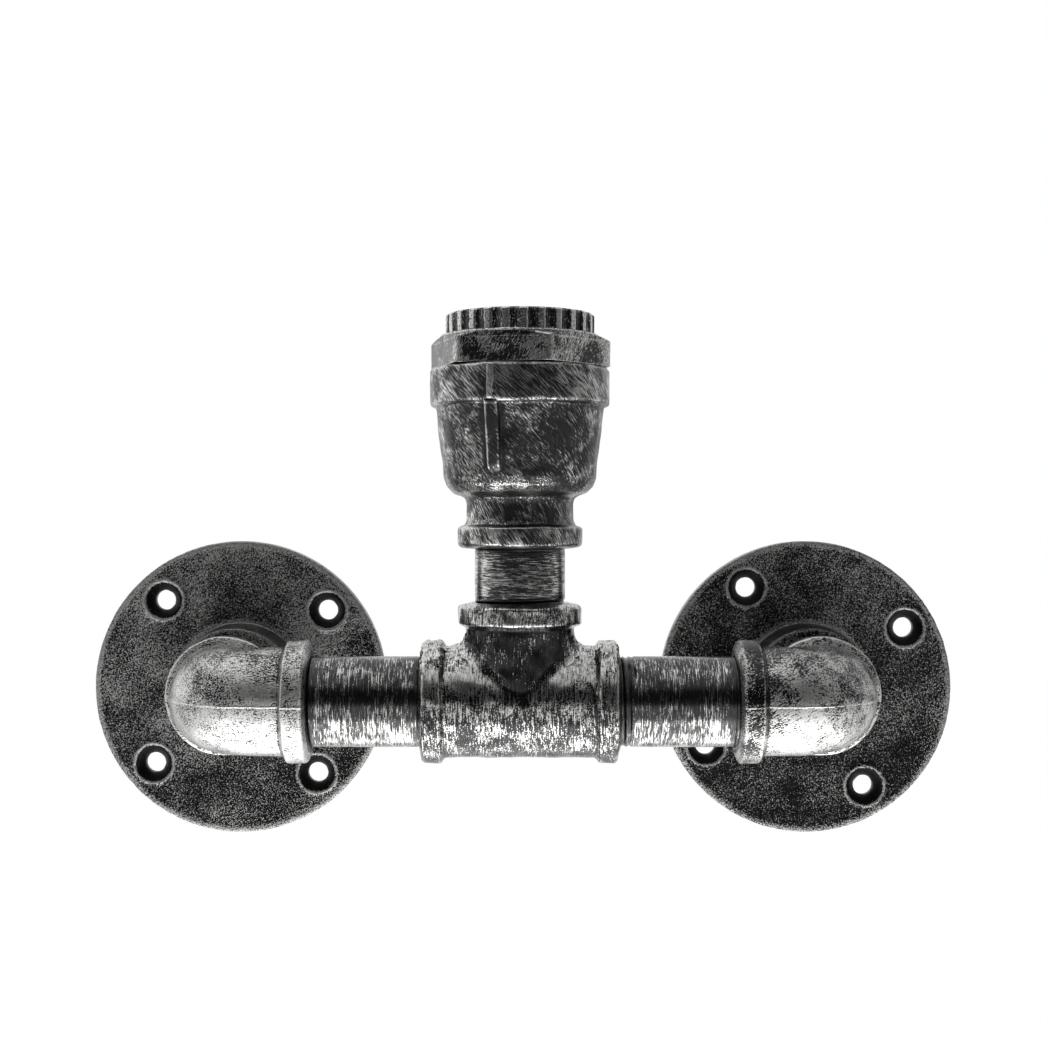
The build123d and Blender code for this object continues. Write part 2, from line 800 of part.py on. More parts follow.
with BuildPart() as terminal_screws:
    for sign in (-1, 1):
        screw_start = terminal_place + terminal_wire_hole / 2
        screw_line = (lamp_x + sign * screw_start, -pipe_standoff, terminal_screw_z)
        shank_length = terminal_outer + seat_gap - screw_start
        turn_outline(
            [
                (0, 0),
                (terminal_screw / 2, 0),
                (terminal_screw / 2, shank_length),
                (terminal_screw_head / 2, shank_length),
                (terminal_screw_head / 2, shank_length + terminal_screw_head_height),
                (0, shank_length + terminal_screw_head_height),
            ],
            screw_line,
            (sign, 0, 0),
            (0, 0, 1),
        )
terminal_screws.part.label = "terminal_screws"
export_step(terminal_screws.part, "parts/terminal_screws.step")

# ---- Holder cap ----
# A metal cup below the insert, flanged where it meets the skirt, with an entry for the cable.
cap_floor_top_z = cap_floor_z + cap_wall
with BuildPart() as holder_cap:
    turn_on_lamp_axis(
        [
            (bush_r, cap_floor_z),
            (cap_bore_r, cap_floor_z),
            (cap_r, cap_floor_top_z),
            (cap_r, cap_top - cap_flange_height),
            (cap_flange_r, cap_top - cap_flange_height),
            (cap_flange_r, cap_top),
            (cap_bore_r, cap_top),
            (cap_bore_r, cap_floor_top_z),
            (bush_r, cap_floor_top_z),
        ]
    )
    with Locations(Plane(origin=(lamp_x, -pipe_standoff, cap_top), x_dir=(1, 0, 0), z_dir=(0, 0, 1))):
        with PolarLocations(cap_screw_r, cap_screw_count, 90):
            Hole(cap_screw / 2, depth=cap_flange_height)
        with Locations((0, earth_place)):
            Hole(earth_screw_od / 2, depth=cap_top - cap_floor_z)
holder_cap.part.label = "holder_cap"
export_step(holder_cap.part, "parts/holder_cap.step")

with BuildPart() as cap_screws:
    with BuildSketch(lamp_plane(cap_top - cap_flange_height - cap_screw_head_height)):
        with PolarLocations(cap_screw_r, cap_screw_count, 90):
            Circle(cap_screw_head / 2)
    extrude(amount=cap_screw_head_height)
    with BuildSketch(lamp_plane(cap_top - cap_flange_height)):
        with PolarLocations(cap_screw_r, cap_screw_count, 90):
            Circle(cap_screw / 2)
    extrude(amount=cap_screw_length)
cap_screws.part.label = "cap_screws"
export_step(cap_screws.part, "parts/cap_screws.step")

with BuildPart() as cap_bush:
    turn_on_lamp_axis(
        [
            (bush_bore / 2, cap_floor_z - bush_flange_height),
            (bush_flange_r, cap_floor_z - bush_flange_height),
            (bush_flange_r, cap_floor_z),
            (bush_r, cap_floor_z),
            (bush_r, cap_floor_top_z),
            (bush_bore / 2, cap_floor_top_z),
        ]
    )
cap_bush.part.label = "cap_bush"
export_step(cap_bush.part, "parts/cap_bush.step")

# ---- Earth connection ----
# A ring lug held under the cap's floor by a screw, with a nut inside.
earth_y = -pipe_standoff + earth_place
with BuildPart() as earth_lug:
    with BuildSketch(lamp_plane(earth_lug_z)):
        with Locations((0, earth_place)):
            Circle(earth_lug_od / 2)
        with Locations((earth_lug_tail / 2, earth_place)):
            Rectangle(earth_lug_tail, earth_lug_tail_width)
        with Locations((0, earth_place)):
            Circle(earth_screw_od / 2, mode=Mode.SUBTRACT)
    extrude(amount=earth_lug_height)
earth_lug.part.label = "earth_lug"
export_step(earth_lug.part, "parts/earth_lug.step")

with BuildPart() as earth_screw:
    turn_outline(
        [
            (0, earth_head_z),
            (earth_head / 2, earth_head_z),
            (earth_head / 2, earth_lug_z),
            (earth_screw_od / 2, earth_lug_z),
            (earth_screw_od / 2, cap_floor_top_z + earth_nut_height),
            (0, cap_floor_top_z + earth_nut_height),
        ],
        (lamp_x, earth_y, 0),
        (0, 0, 1),
        (1, 0, 0),
    )
earth_screw.part.label = "earth_screw"
export_step(earth_screw.part, "parts/earth_screw.step")

with BuildPart() as earth_nut:
    with BuildSketch(lamp_plane(cap_floor_top_z)):
        with Locations((0, earth_place)):
            RegularPolygon(earth_nut_width / 2, 6, major_radius=False)
            Circle(earth_screw_od / 2, mode=Mode.SUBTRACT)
    extrude(amount=earth_nut_height)
earth_nut.part.label = "earth_nut"
export_step(earth_nut.part, "parts/earth_nut.step")

# ---- Shade ring ----
# A fluted ring screwed onto the skirt, with a plain lip at its foot.
flute_circle_r = ring_r - ring_flute_depth + ring_flute_radius
first_flute_angle = -90 + 180 / ring_flute_count
with BuildPart() as shade_ring:
    turn_on_lamp_axis(
        [
            (ring_bore_r, ring_z + ring_lip_height),
            (ring_r, ring_z + ring_lip_height),
            (ring_r, ring_top - ring_top_round),
            (ring_r - ring_top_round, ring_top),
            (ring_bore_r + ring_mouth_chamfer, ring_top),
            (ring_bore_r, ring_top - ring_mouth_chamfer),
        ]
    )
    with BuildSketch(lamp_plane(ring_z + ring_lip_height)):
        with PolarLocations(flute_circle_r, ring_flute_count, first_flute_angle):
            Circle(ring_flute_radius)
    extrude(amount=ring_height, mode=Mode.SUBTRACT)
    turn_on_lamp_axis(
        [
            (ring_bore_r, ring_z),
            (ring_lip_r, ring_z),
            (ring_lip_r, ring_z + ring_lip_height / 2),
            (ring_lip_r - ring_lip_height / 2, ring_z + ring_lip_height),
            (ring_bore_r, ring_z + ring_lip_height),
        ]
    )
shade_ring.part.label = "shade_ring"
export_step(shade_ring.part, "parts/shade_ring.step")
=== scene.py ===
import math
import statistics

import bmesh
import bpy
import numpy as np
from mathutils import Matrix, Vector


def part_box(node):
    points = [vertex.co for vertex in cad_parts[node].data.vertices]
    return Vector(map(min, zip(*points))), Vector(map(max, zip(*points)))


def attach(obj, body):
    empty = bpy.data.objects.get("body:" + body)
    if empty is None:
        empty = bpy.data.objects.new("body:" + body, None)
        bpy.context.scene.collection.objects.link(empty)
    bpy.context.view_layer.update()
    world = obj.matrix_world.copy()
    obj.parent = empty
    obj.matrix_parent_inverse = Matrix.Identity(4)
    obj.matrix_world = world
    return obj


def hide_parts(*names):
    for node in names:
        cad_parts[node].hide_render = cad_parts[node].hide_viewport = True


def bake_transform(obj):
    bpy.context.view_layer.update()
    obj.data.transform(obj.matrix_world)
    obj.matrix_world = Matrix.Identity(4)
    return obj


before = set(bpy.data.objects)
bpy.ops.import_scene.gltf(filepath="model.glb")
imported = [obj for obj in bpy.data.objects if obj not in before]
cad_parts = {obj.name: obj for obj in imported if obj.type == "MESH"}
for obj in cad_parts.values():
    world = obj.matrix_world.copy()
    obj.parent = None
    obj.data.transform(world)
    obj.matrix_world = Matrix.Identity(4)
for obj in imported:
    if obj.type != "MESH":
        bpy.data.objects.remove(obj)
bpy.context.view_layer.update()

bl_info = {
    "name": "Pipe Wall Light",
    "version": (1, 0, 0),
    "blender": (4, 5, 0),
    "location": "View3D > Sidebar > Pipe Light",
    "description": "Wall light built from pipe fittings, gun-black plated and wire-brushed",
    "category": "Add Mesh",
}

MM = 0.001
WALL_FRAME = "wall_frame"
LAMP_HEAD = "lamp_head"
SHADE_RING = "shade_ring"
UPWARDS = (0, 0, 1)
DOWNWARDS = (0, 0, -1)


def centre(node):
    """The middle of a CAD node's box, in metres."""
    low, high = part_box(node)
    return np.array((low + high) / 2)


def span(node, axis):
    """How far a CAD node reaches along one axis: its lowest and highest value, in metres."""
    low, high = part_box(node)
    return low[axis], high[axis]


RUN_Y, RUN_Z = centre("left_arm_pipe")[1:]
LAMP_X = centre("riser_pipe")[0]
PIPE_RADIUS = np.ptp(span("left_arm_pipe", 2)) / 2
# Radius at which slanted brush marks have their true angle
SLANT_REACH = 24 * MM


# ---- Sizes and colours that a user would change ----


def linear(hex_code):
    """An sRGB hex value turned to the linear colour that a shader takes."""
    parts = np.array([int(hex_code[i : i + 2], 16) for i in (1, 3, 5)]) / 255
    curve = np.where(parts <= 0.04045, parts / 12.92, ((parts + 0.055) / 1.055) ** 2.4)
    return (*curve.tolist(), 1.0)


def length_property(label, default_mm, about):
    """A length in metres with its default given in millimetres."""
    return bpy.props.FloatProperty(
        name=label, description=about, default=default_mm * MM, min=0.0, unit="LENGTH", precision=5
    )


def angle_property(label, default_degrees, about):
    """An angle in radians with its default given in degrees."""
    return bpy.props.FloatProperty(
        name=label, description=about, default=math.radians(default_degrees), unit="ROTATION"
    )


def colour_property(label, hex_code, about):
    """A surface colour with its default given as an sRGB hex value."""
    return bpy.props.FloatVectorProperty(
        name=label, description=about, default=linear(hex_code), size=4, min=0, max=1, subtype="COLOR"
    )


class PipeLightSizes(bpy.types.PropertyGroup):
    """Sizes of the fittings that the CAD boxes alone don't give."""

    pipe_wall: length_property("Pipe wall", 2.9, "Wall thickness of the steel pipe")
    thread_pitch: length_property("Thread pitch", 1.81, "Distance between two pipe thread crests")
    thread_depth: length_property("Thread depth", 0.55, "Depth of the pipe thread's grooves")
    thread_length: length_property("Thread length", 13.5, "Length of pipe screwed into a fitting")
    socket_gap: length_property("Socket gap", 0.08, "Gap between a fitting's bore and its pipe")
    flange_radius: length_property("Flange radius", 47.0, "Outer radius of a wall flange")
    flange_thickness: length_property("Flange thickness", 5.0, "Thickness of a flange's plate")
    hub_radius: length_property("Hub radius", 19.5, "Radius of a flange's hub at its top")
    hub_height: length_property("Hub height", 13.8, "Height of a flange's hub above its plate")
    left_screw_angle: angle_property("Left screw angle", 41.5, "Turn of the left flange's holes")
    right_screw_angle: angle_property("Right screw angle", 30.7, "Turn of the right flange's holes")
    band_width: length_property("Band width", 6.4, "Width of the band at a tee's mouth")
    elbow_band_width: length_property("Elbow band width", 7.0, "Width of the band at an elbow's mouth")
    elbow_body: length_property("Elbow body radius", 15.98, "Outer radius of an elbow's body")
    elbow_band: length_property("Elbow band radius", 18.18, "Outer radius of an elbow's band")
    bend_radius: length_property("Bend radius", 14.0, "Radius of the elbow's centre line")
    seam_height: length_property("Seam height", 0.15, "How far the parting seam stands up")
    tee_run: length_property("Tee run radius", 16.38, "Outer radius of the tee's level run")
    tee_branch: length_property("Tee branch radius", 15.98, "Outer radius of the tee's upright branch")
    tee_run_band: length_property("Tee run band radius", 18.05, "Outer radius of the run's bands")
    tee_branch_band: length_property("Tee branch band radius", 18.25, "Outer radius of the branch's band")
    crotch_round: length_property("Crotch round", 4.6, "Radius of the blend between run and branch")
    cast_unevenness: length_property("Cast unevenness", 0.1, "How far a cast surface wanders")
    flute_depth: length_property("Flute depth", 0.8, "Depth of the shade ring's flutes")
    flute_count: bpy.props.IntProperty(
        name="Flute count", description="Number of flutes round the shade ring", default=26, min=3
    )
    screw_pitch: length_property("Screw shell pitch", 3.63, "Pitch of the lamp's screw thread")


class PipeLightColours(bpy.types.PropertyGroup):
    """Colours of the finishes."""

    gun_black: colour_property("Gun-black plate", "#4b4b4b", "The dark plating that the brush leaves")
    bared_metal: colour_property("Bared metal", "#d2d2d0", "The bright metal that the wire brush bares")
    porcelain: colour_property("Porcelain", "#ece9e0", "The glazed insert of the lampholder")
    brass: colour_property("Brass", "#c9a24b", "The screw shell, the contact and the terminals")
    zinc: colour_property("Zinc plate", "#b9bcc0", "The lampholder's sleeve and its screws")
    bush: colour_property("Cable bush", "#161616", "The moulded bush in the lampholder's cap")


def sizes():
    """The sizes that the operators read."""
    return bpy.context.scene.pipe_light_sizes


def colours():
    """The colours that the operators read."""
    return bpy.context.scene.pipe_light_colours


def socket_radius():
    """Inner radius of every mouth that takes a pipe."""
    return PIPE_RADIUS + sizes().socket_gap


# ---- Surfaces worked out with numpy ----


def even_angles(count):
    """Angles of a full turn at even steps."""
    return np.linspace(0, 2 * np.pi, count, endpoint=False)


def rising(value, start, width):
    """Share that goes evenly from 0 at start to 1 a width further on."""
    return np.clip((value - start) / width, 0, 1)


def hump(value, place, width):
    """Share that swells to 1 at a place: exp(-((value - place) / width) squared)."""
    return np.exp(-(((value - place) / width) ** 2))


def soften(line, step, softness, closed):
    """Gaussian average of an evenly stepped line; an open line keeps its ends and their direction."""
    reach = int(4 * softness / step) + 1
    offsets = np.arange(-reach, reach + 1) * step / softness
    weights = np.exp(-0.5 * offsets**2)
    weights /= weights.sum()
    edge = {"mode": "wrap"} if closed else {"mode": "reflect", "reflect_type": "odd"}
    padded = np.pad(line, ((reach, reach), (0, 0)), **edge)
    return np.stack([np.convolve(column, weights, "valid") for column in padded.T], axis=1)


def soft_outline(corners, rows, softness=0.28 * MM, closed=True):
    """Outline through corners (radius, distance), with every corner rounded as a casting's is.

    The corners are joined by straight lines, walked at an even step and softened. A third column
    gives the wear: how sharply the outline turns there, from 1 on a square outer edge to -1 in a
    square inner corner. The rows that are kept stand closer where the outline turns."""
    step, length_per_radian, wear_per_turn = 0.08 * MM, 2.2 * MM, 1.6 * softness
    loop = np.vstack([corners, corners[:1]]) if closed else np.asarray(corners, float)
    along = np.concatenate([[0], np.cumsum(np.hypot(*np.diff(loop, axis=0).T))])
    places = np.linspace(0, along[-1], round(along[-1] / step), endpoint=not closed)
    fine = np.stack([np.interp(places, along, loop[:, k]) for k in range(2)], axis=1)
    fine = soften(fine, step, softness, closed)
    turn = np.gradient(np.unwrap(np.arctan2(np.gradient(fine[:, 1]), np.gradient(fine[:, 0]))))
    wear_and_painted_light = np.clip(turn / step * wear_per_turn, -1, 1)
    measure = np.cumsum(step + length_per_radian * np.abs(turn))
    picks = np.linspace(measure[0], measure[-1], rows, endpoint=not closed)
    return np.stack([np.interp(picks, measure, part) for part in (*fine.T, wear_and_painted_light)], axis=1)


def columns(outline):
    """The three columns of an outline, each as a column that spreads over all angles."""
    return outline[:, 0:1], outline[:, 1:2], outline[:, 2:3]


def turned(outline, origin, along, across, angles):
    """Surface of an outline turned about an axis, as its points and their wear.

    point = origin + distance * along + radius * (cos(angle) * across + sin(angle) * side),
    where side is square to both. Radius, distance and wear may change with row and column."""
    along, across = np.asarray(along, float), np.asarray(across, float)
    side = np.cross(along, across)
    ring = np.cos(angles)[:, None] * across + np.sin(angles)[:, None] * side
    radius, distance, wear_and_painted_light = (np.broadcast_to(part, (len(outline[0]), len(angles))) for part in outline)
    points = np.asarray(origin) + distance[..., None] * along + radius[..., None] * ring
    return points, wear_and_painted_light


def turned_upright(outline, low, start, angles):
    """The same about the lamp's upright axis; angle 0 is turned by start from the front."""
    return turned(outline, (LAMP_X, RUN_Y, low), UPWARDS, (math.sin(start), -math.cos(start), 0), angles)


def waves(points, wavelength, seed, count=28):
    """Smooth unevenness in space: the sum of plane waves with random directions and phases."""
    draw = np.random.default_rng(seed)
    directions = draw.normal(size=(count, 3))
    directions /= np.linalg.norm(directions, axis=1)[:, None]
    lengths = wavelength * draw.uniform(0.55, 1.7, count)
    phases = draw.uniform(0, 2 * np.pi, count)
    turns = points @ (directions * 2 * np.pi / lengths[:, None]).T + phases
    return np.cos(turns).sum(axis=-1) / math.sqrt(count)


def cast_skin(points, share, wavelength, seed, free):
    """Cast unevenness: every point moves by three smooth waves that depend on its place alone.

    Neighbouring surfaces move together, so seams between them stay closed. share is this piece's
    part of the cast unevenness, and free is the part of the movement that a point takes: 0 in bores
    and on lips, where another piece fits."""
    shift = np.stack([waves(points, wavelength, seed + k) for k in range(3)], axis=-1)
    amount = share * sizes().cast_unevenness
    return points + amount * np.broadcast_to(free, points.shape[:-1])[..., None] * shift


def slanted(points, slant):
    """Places for a pattern of slanted marks round a piece on the lamp's axis.

    Each point is turned about the axis by its height * tan(slant) / SLANT_REACH, so that marks
    drawn upright in these places climb the piece at the slant, all the way round."""
    turn = -points[..., 2] * math.tan(slant) / SLANT_REACH
    x, y = points[..., 0] - LAMP_X, points[..., 1] - RUN_Y
    turned_x, turned_y = x * np.cos(turn) - y * np.sin(turn), x * np.sin(turn) + y * np.cos(turn)
    return np.stack([turned_x, turned_y, points[..., 2]], axis=-1)


def closed_faces(rows, count):
    """Quads of a grid that closes on itself along its rows and round its columns."""
    index = np.arange(rows * count).reshape(rows, count)
    below = np.roll(index, -1, axis=0)
    quads = [index, np.roll(index, -1, axis=1), np.roll(below, -1, axis=1), below]
    return np.stack(quads, axis=-1).reshape(-1, 4)


def outward(points, quads):
    """The quads, turned round where the solid's signed volume comes out negative."""
    a, b, c, d = (points[quads[:, k]] for k in range(4))
    volume = np.einsum("ij,ij->i", a, np.cross(b, c) + np.cross(c, d)).sum()
    return quads if volume > 0 else quads[:, ::-1]


def closed_shell(surface):
    """A turned surface with a closed outline, as (points, quads, wear)."""
    points, wear_and_painted_light = surface
    flat = points.reshape(-1, 3)
    return flat, outward(flat, closed_faces(*points.shape[:2])), np.asarray(wear_and_painted_light).reshape(-1)


def open_shell(surface):
    """A surface that is open at its first and last row, as (points, quads, wear), to be welded."""
    points, wear_and_painted_light = surface
    rows, count = points.shape[:2]
    return points.reshape(-1, 3), closed_faces(rows, count)[: (rows - 1) * count], wear_and_painted_light.reshape(-1)


def cast_shell(surface, *skin):
    """A turned surface with a closed outline and the cast skin that the further values describe."""
    points, wear_and_painted_light = surface
    return closed_shell((cast_skin(points, *skin), wear_and_painted_light))


def new_object(name, data):
    """A new object of the scene."""
    made = bpy.data.objects.new(name, data)
    bpy.context.scene.collection.objects.link(made)
    return made


def add_piece(name, shells, body, node, material, weld=False, slant=None):
    """Put closed shells into one mesh object that rides on a body and stands for a CAD node.

    Points stay inside the node's box: cast unevenness that would leave it is cut flat there.
    weld joins shells that share their edges. slant is the angle of brush marks that climb it."""
    weld_distance = 0.002 * MM
    starts = np.cumsum([0] + [len(points) for points, _, _ in shells])
    points = np.clip(np.concatenate([shell[0] for shell in shells]), *np.array(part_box(node)))
    quads = np.concatenate([shell[1] + start for shell, start in zip(shells, starts)])
    wear_and_painted_light = np.concatenate([shell[2] for shell in shells])
    mesh = bpy.data.meshes.new(name)
    mesh.from_pydata(points, [], quads)
    mesh.attributes.new("wear_and_painted_light", "FLOAT", "POINT").data.foreach_set("value", wear_and_painted_light.astype(np.float32))
    if slant:
        places = slanted(points, slant).astype(np.float32)
        mesh.attributes.new("slanted", "FLOAT_VECTOR", "POINT").data.foreach_set("vector", places.ravel())
    if weld:
        work = bmesh.new()
        work.from_mesh(mesh)
        bmesh.ops.remove_doubles(work, verts=work.verts, dist=weld_distance)
        bmesh.ops.recalc_face_normals(work, faces=work.faces)
        work.to_mesh(mesh)
        work.free()
    mesh.shade_smooth()
    mesh.materials.append(material)
    piece = new_object(name, mesh)
    if body:
        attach(piece, body)
    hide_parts(node)
    return piece


# ---- Finishes ----

# Standard deviation of the noise texture about its middle of 0.5
NOISE_SPREAD = 0.11


def add_node(owner, kind, inputs=None, take=None, **settings):
    """Add one node to a material or world with its own settings, and give one of its outputs.

    An input is a value or a socket to link from. take names the output; without it, it is the first
    one that the settings leave in use."""
    node = owner.node_tree.nodes.new(kind)
    for setting, value in settings.items():
        setattr(node, setting, value)
    for place, value in (inputs or {}).items():
        if isinstance(value, bpy.types.NodeSocket):
            owner.node_tree.links.new(value, node.inputs[place])
        else:
            node.inputs[place].default_value = value
    return node.outputs[take] if take else next((part for part in node.outputs if part.enabled), None)


def new_material(name):
    """An empty node material."""
    material = bpy.data.materials.new(name)
    material.use_nodes = True
    material.node_tree.nodes.clear()
    return material


def scaled(colour, share):
    """A colour at a share of its brightness."""
    return (*(min(1.0, v * share) for v in colour[:3]), 1.0)


def pattern(material, size_mm, turn=(0, 0, 0), detail=3.0, rough=0.6, follow=None):
    """A noise whose cells have the given real size in millimetres along each turned axis.

    It lies in Object coordinates, or in the piece's own attribute named by follow."""
    if follow:
        place = add_node(material, "ShaderNodeAttribute", take="Vector", attribute_name=follow)
    else:
        place = add_node(material, "ShaderNodeTexCoord", take="Object")
    mapping = {"Vector": place, "Rotation": turn, "Scale": [v * MM for v in size_mm]}
    mapped = add_node(material, "ShaderNodeMapping", mapping, vector_type="TEXTURE")
    look = {"Vector": mapped, "Scale": 1.0, "Detail": detail, "Roughness": rough}
    return add_node(material, "ShaderNodeTexNoise", look)


def relieved_plate(name, strokes, turn=(0, 0, 0), cover=0.4, soft=0.7, specks=(0.35, 0.5), patches=(9.0, 0.6),
                   edge=1.3, dark_rough=0.24, bright_rough=0.22, bump_mm=0.008, dim=0.45, ground=1.0,
                   bright=1.0, follow=None):
    """Gun-black plating relieved with a wire brush.

    The eye gets a dark mirror-like ground, and bright scratches where the brush bared the metal: along
    its strokes, on high spots and on worn edges. Real bristle marks are about 0.1 mm wide and are
    drawn at twice that, so that they show. strokes holds the mark's size in millimetres along each
    turned axis, specks and patches hold a size and a weight, and cover is the share of bared metal.
    soft is the width of the step from plating to metal, dim the brightness in the deepest marks, and
    ground and bright scale the brightness of the two colours for each piece."""
    material = new_material(name)
    short_strokes = [max(0.3, v * 0.4) for v in strokes]
    marks = pattern(material, strokes, turn, 2.0, 0.5, follow)
    short_marks = pattern(material, short_strokes, turn, 2.0, 0.6, follow)
    speckle = pattern(material, (specks[0],) * 3, detail=2.0, rough=0.55)
    cloud = pattern(material, (patches[0],) * 3, detail=4.0, rough=0.55)
    # The wear attribute, weighed by edge, holds edge wear and, on several pieces, painted light: painted
    # highlights and painted shade that raise or lower the bared share
    worn_and_painted_light = add_node(material, "ShaderNodeAttribute", take="Fac", attribute_name="wear_and_painted_light")
    weights = (1.0, 0.6, specks[1], patches[1])
    spread = NOISE_SPREAD * math.sqrt(sum(v * v for v in weights))
    height = -0.5 * sum(weights)
    for layer, weight in zip((marks, short_marks, speckle, cloud, worn_and_painted_light), (*weights, edge * spread)):
        total = {0: layer, 1: weight, 2: height}
        height = add_node(material, "ShaderNodeMath", total, operation="MULTIPLY_ADD")
    limit = -spread * statistics.NormalDist().inv_cdf(cover)
    step = {"Value": height, "From Min": limit - soft * spread, "From Max": limit + soft * spread}
    bared = add_node(material, "ShaderNodeMapRange", step, interpolation_type="SMOOTHSTEP")
    tones = {"A": scaled(colours().gun_black, ground), "B": scaled(colours().bared_metal, bright)}
    tone = add_node(material, "ShaderNodeMix", {"Factor": bared, **tones}, data_type="RGBA")
    depth = {"Value": short_marks, "From Min": 0.32, "From Max": 0.66, "To Min": dim, "To Max": 1.0}
    shade = add_node(material, "ShaderNodeMapRange", depth, interpolation_type="SMOOTHSTEP")
    uneven = add_node(material, "ShaderNodeVectorMath", {0: tone, 3: shade}, operation="SCALE")
    polish = {"Value": bared, "To Min": dark_rough, "To Max": bright_rough}
    rough = add_node(material, "ShaderNodeMapRange", polish)
    raised = add_node(material, "ShaderNodeMath", {0: height, 1: 2.0, 2: bared}, operation="MULTIPLY_ADD")
    bump = add_node(material, "ShaderNodeBump", {"Height": raised, "Distance": bump_mm * MM, "Strength": 1.0})
    skin = {"Base Color": uneven, "Metallic": 1.0, "Roughness": rough, "Normal": bump}
    shader = add_node(material, "ShaderNodeBsdfPrincipled", skin)
    add_node(material, "ShaderNodeOutputMaterial", {"Surface": shader})
    return material


def grained(name, grain_mm, low_colour, high_colour, rough, bump_mm, sockets):
    """An even surface with a fine grain: its colour, roughness and bump follow one noise.

    The colour runs between two shades and the roughness between two values, from the grain's low
    spots to its high ones. sockets are the shader's own uniform values."""
    material = new_material(name)
    grain = pattern(material, grain_mm)
    shades = {"Factor": grain, "A": low_colour, "B": high_colour}
    tone = add_node(material, "ShaderNodeMix", shades, data_type="RGBA")
    polish = {"Value": grain, "From Min": 0.3, "From Max": 0.7, "To Min": rough[0], "To Max": rough[1]}
    dull = add_node(material, "ShaderNodeMapRange", polish)
    bump = add_node(material, "ShaderNodeBump", {"Height": grain, "Distance": bump_mm * MM, "Strength": 0.5})
    skin = {"Base Color": tone, "Roughness": dull, "Normal": bump, **sockets}
    shader = add_node(material, "ShaderNodeBsdfPrincipled", skin)
    add_node(material, "ShaderNodeOutputMaterial", {"Surface": shader})
    return material


def plated(name, colour, rough, grain_mm):
    """Turned or pressed metal with a fine drawn grain: bright, with a soft streaked shine."""
    roughness = (rough * 0.8, rough * 1.3)
    return grained(name, grain_mm, scaled(colour, 0.6), colour, roughness, 0.02, {"Metallic": 1.0})


def glazed_porcelain(name, colour):
    """Fired and glazed porcelain: a warm white body under a thin wet-looking coat."""
    glaze = {"IOR": 1.54, "Coat Weight": 0.6}
    return grained(name, (3.0, 3.0, 3.0), scaled(colour, 0.88), colour, (0.12, 0.2), 0.03, glaze)


def moulded_nylon(name, colour):
    """Moulded nylon: black, with a faint even spark-eroded grain."""
    return grained(name, (0.25, 0.25, 0.25), colour, scaled(colour, 2.2), (0.45, 0.6), 0.02, {"IOR": 1.53})


def dress(nodes, material):
    """Give CAD nodes that keep their shape a finish of their own."""
    for node in nodes:
        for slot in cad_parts[node].material_slots:
            slot.material = material


# ---- Pieces ----


def sector_rays(screw_circle, inner, outer, count=176):
    """Directions round a screw hole, and how far each ray runs to the edge of the hole's quarter.

    The quarter lies between two circles and two lines at 45 degrees to the hole. A ray ends at the
    nearest of them. Rays to the quarter's four corners are added, so that quarters share them."""
    diagonal = math.sqrt(0.5)
    corners = [(r * diagonal - screw_circle, side * r * diagonal) for r in (inner, outer) for side in (-1, 1)]
    to_corners = [math.atan2(y, x) % (2 * np.pi) for x, y in corners]
    rays = np.sort(np.concatenate([even_angles(count) + np.pi / count, to_corners]))
    forward, offset = screw_circle * np.cos(rays), screw_circle * np.sin(rays)
    to_outer = np.sqrt(outer**2 - offset**2) - forward
    miss = inner**2 - offset**2
    to_inner = np.where((miss > 0) & (forward < 0), -forward - np.sqrt(np.maximum(miss, 0)), np.inf)
    across = np.abs(np.sin(rays)) - np.cos(rays)
    to_line = np.where(across > 1e-9, screw_circle / np.maximum(across, 1e-9), np.inf)
    return rays, np.minimum(np.minimum(to_outer, to_inner), to_line)


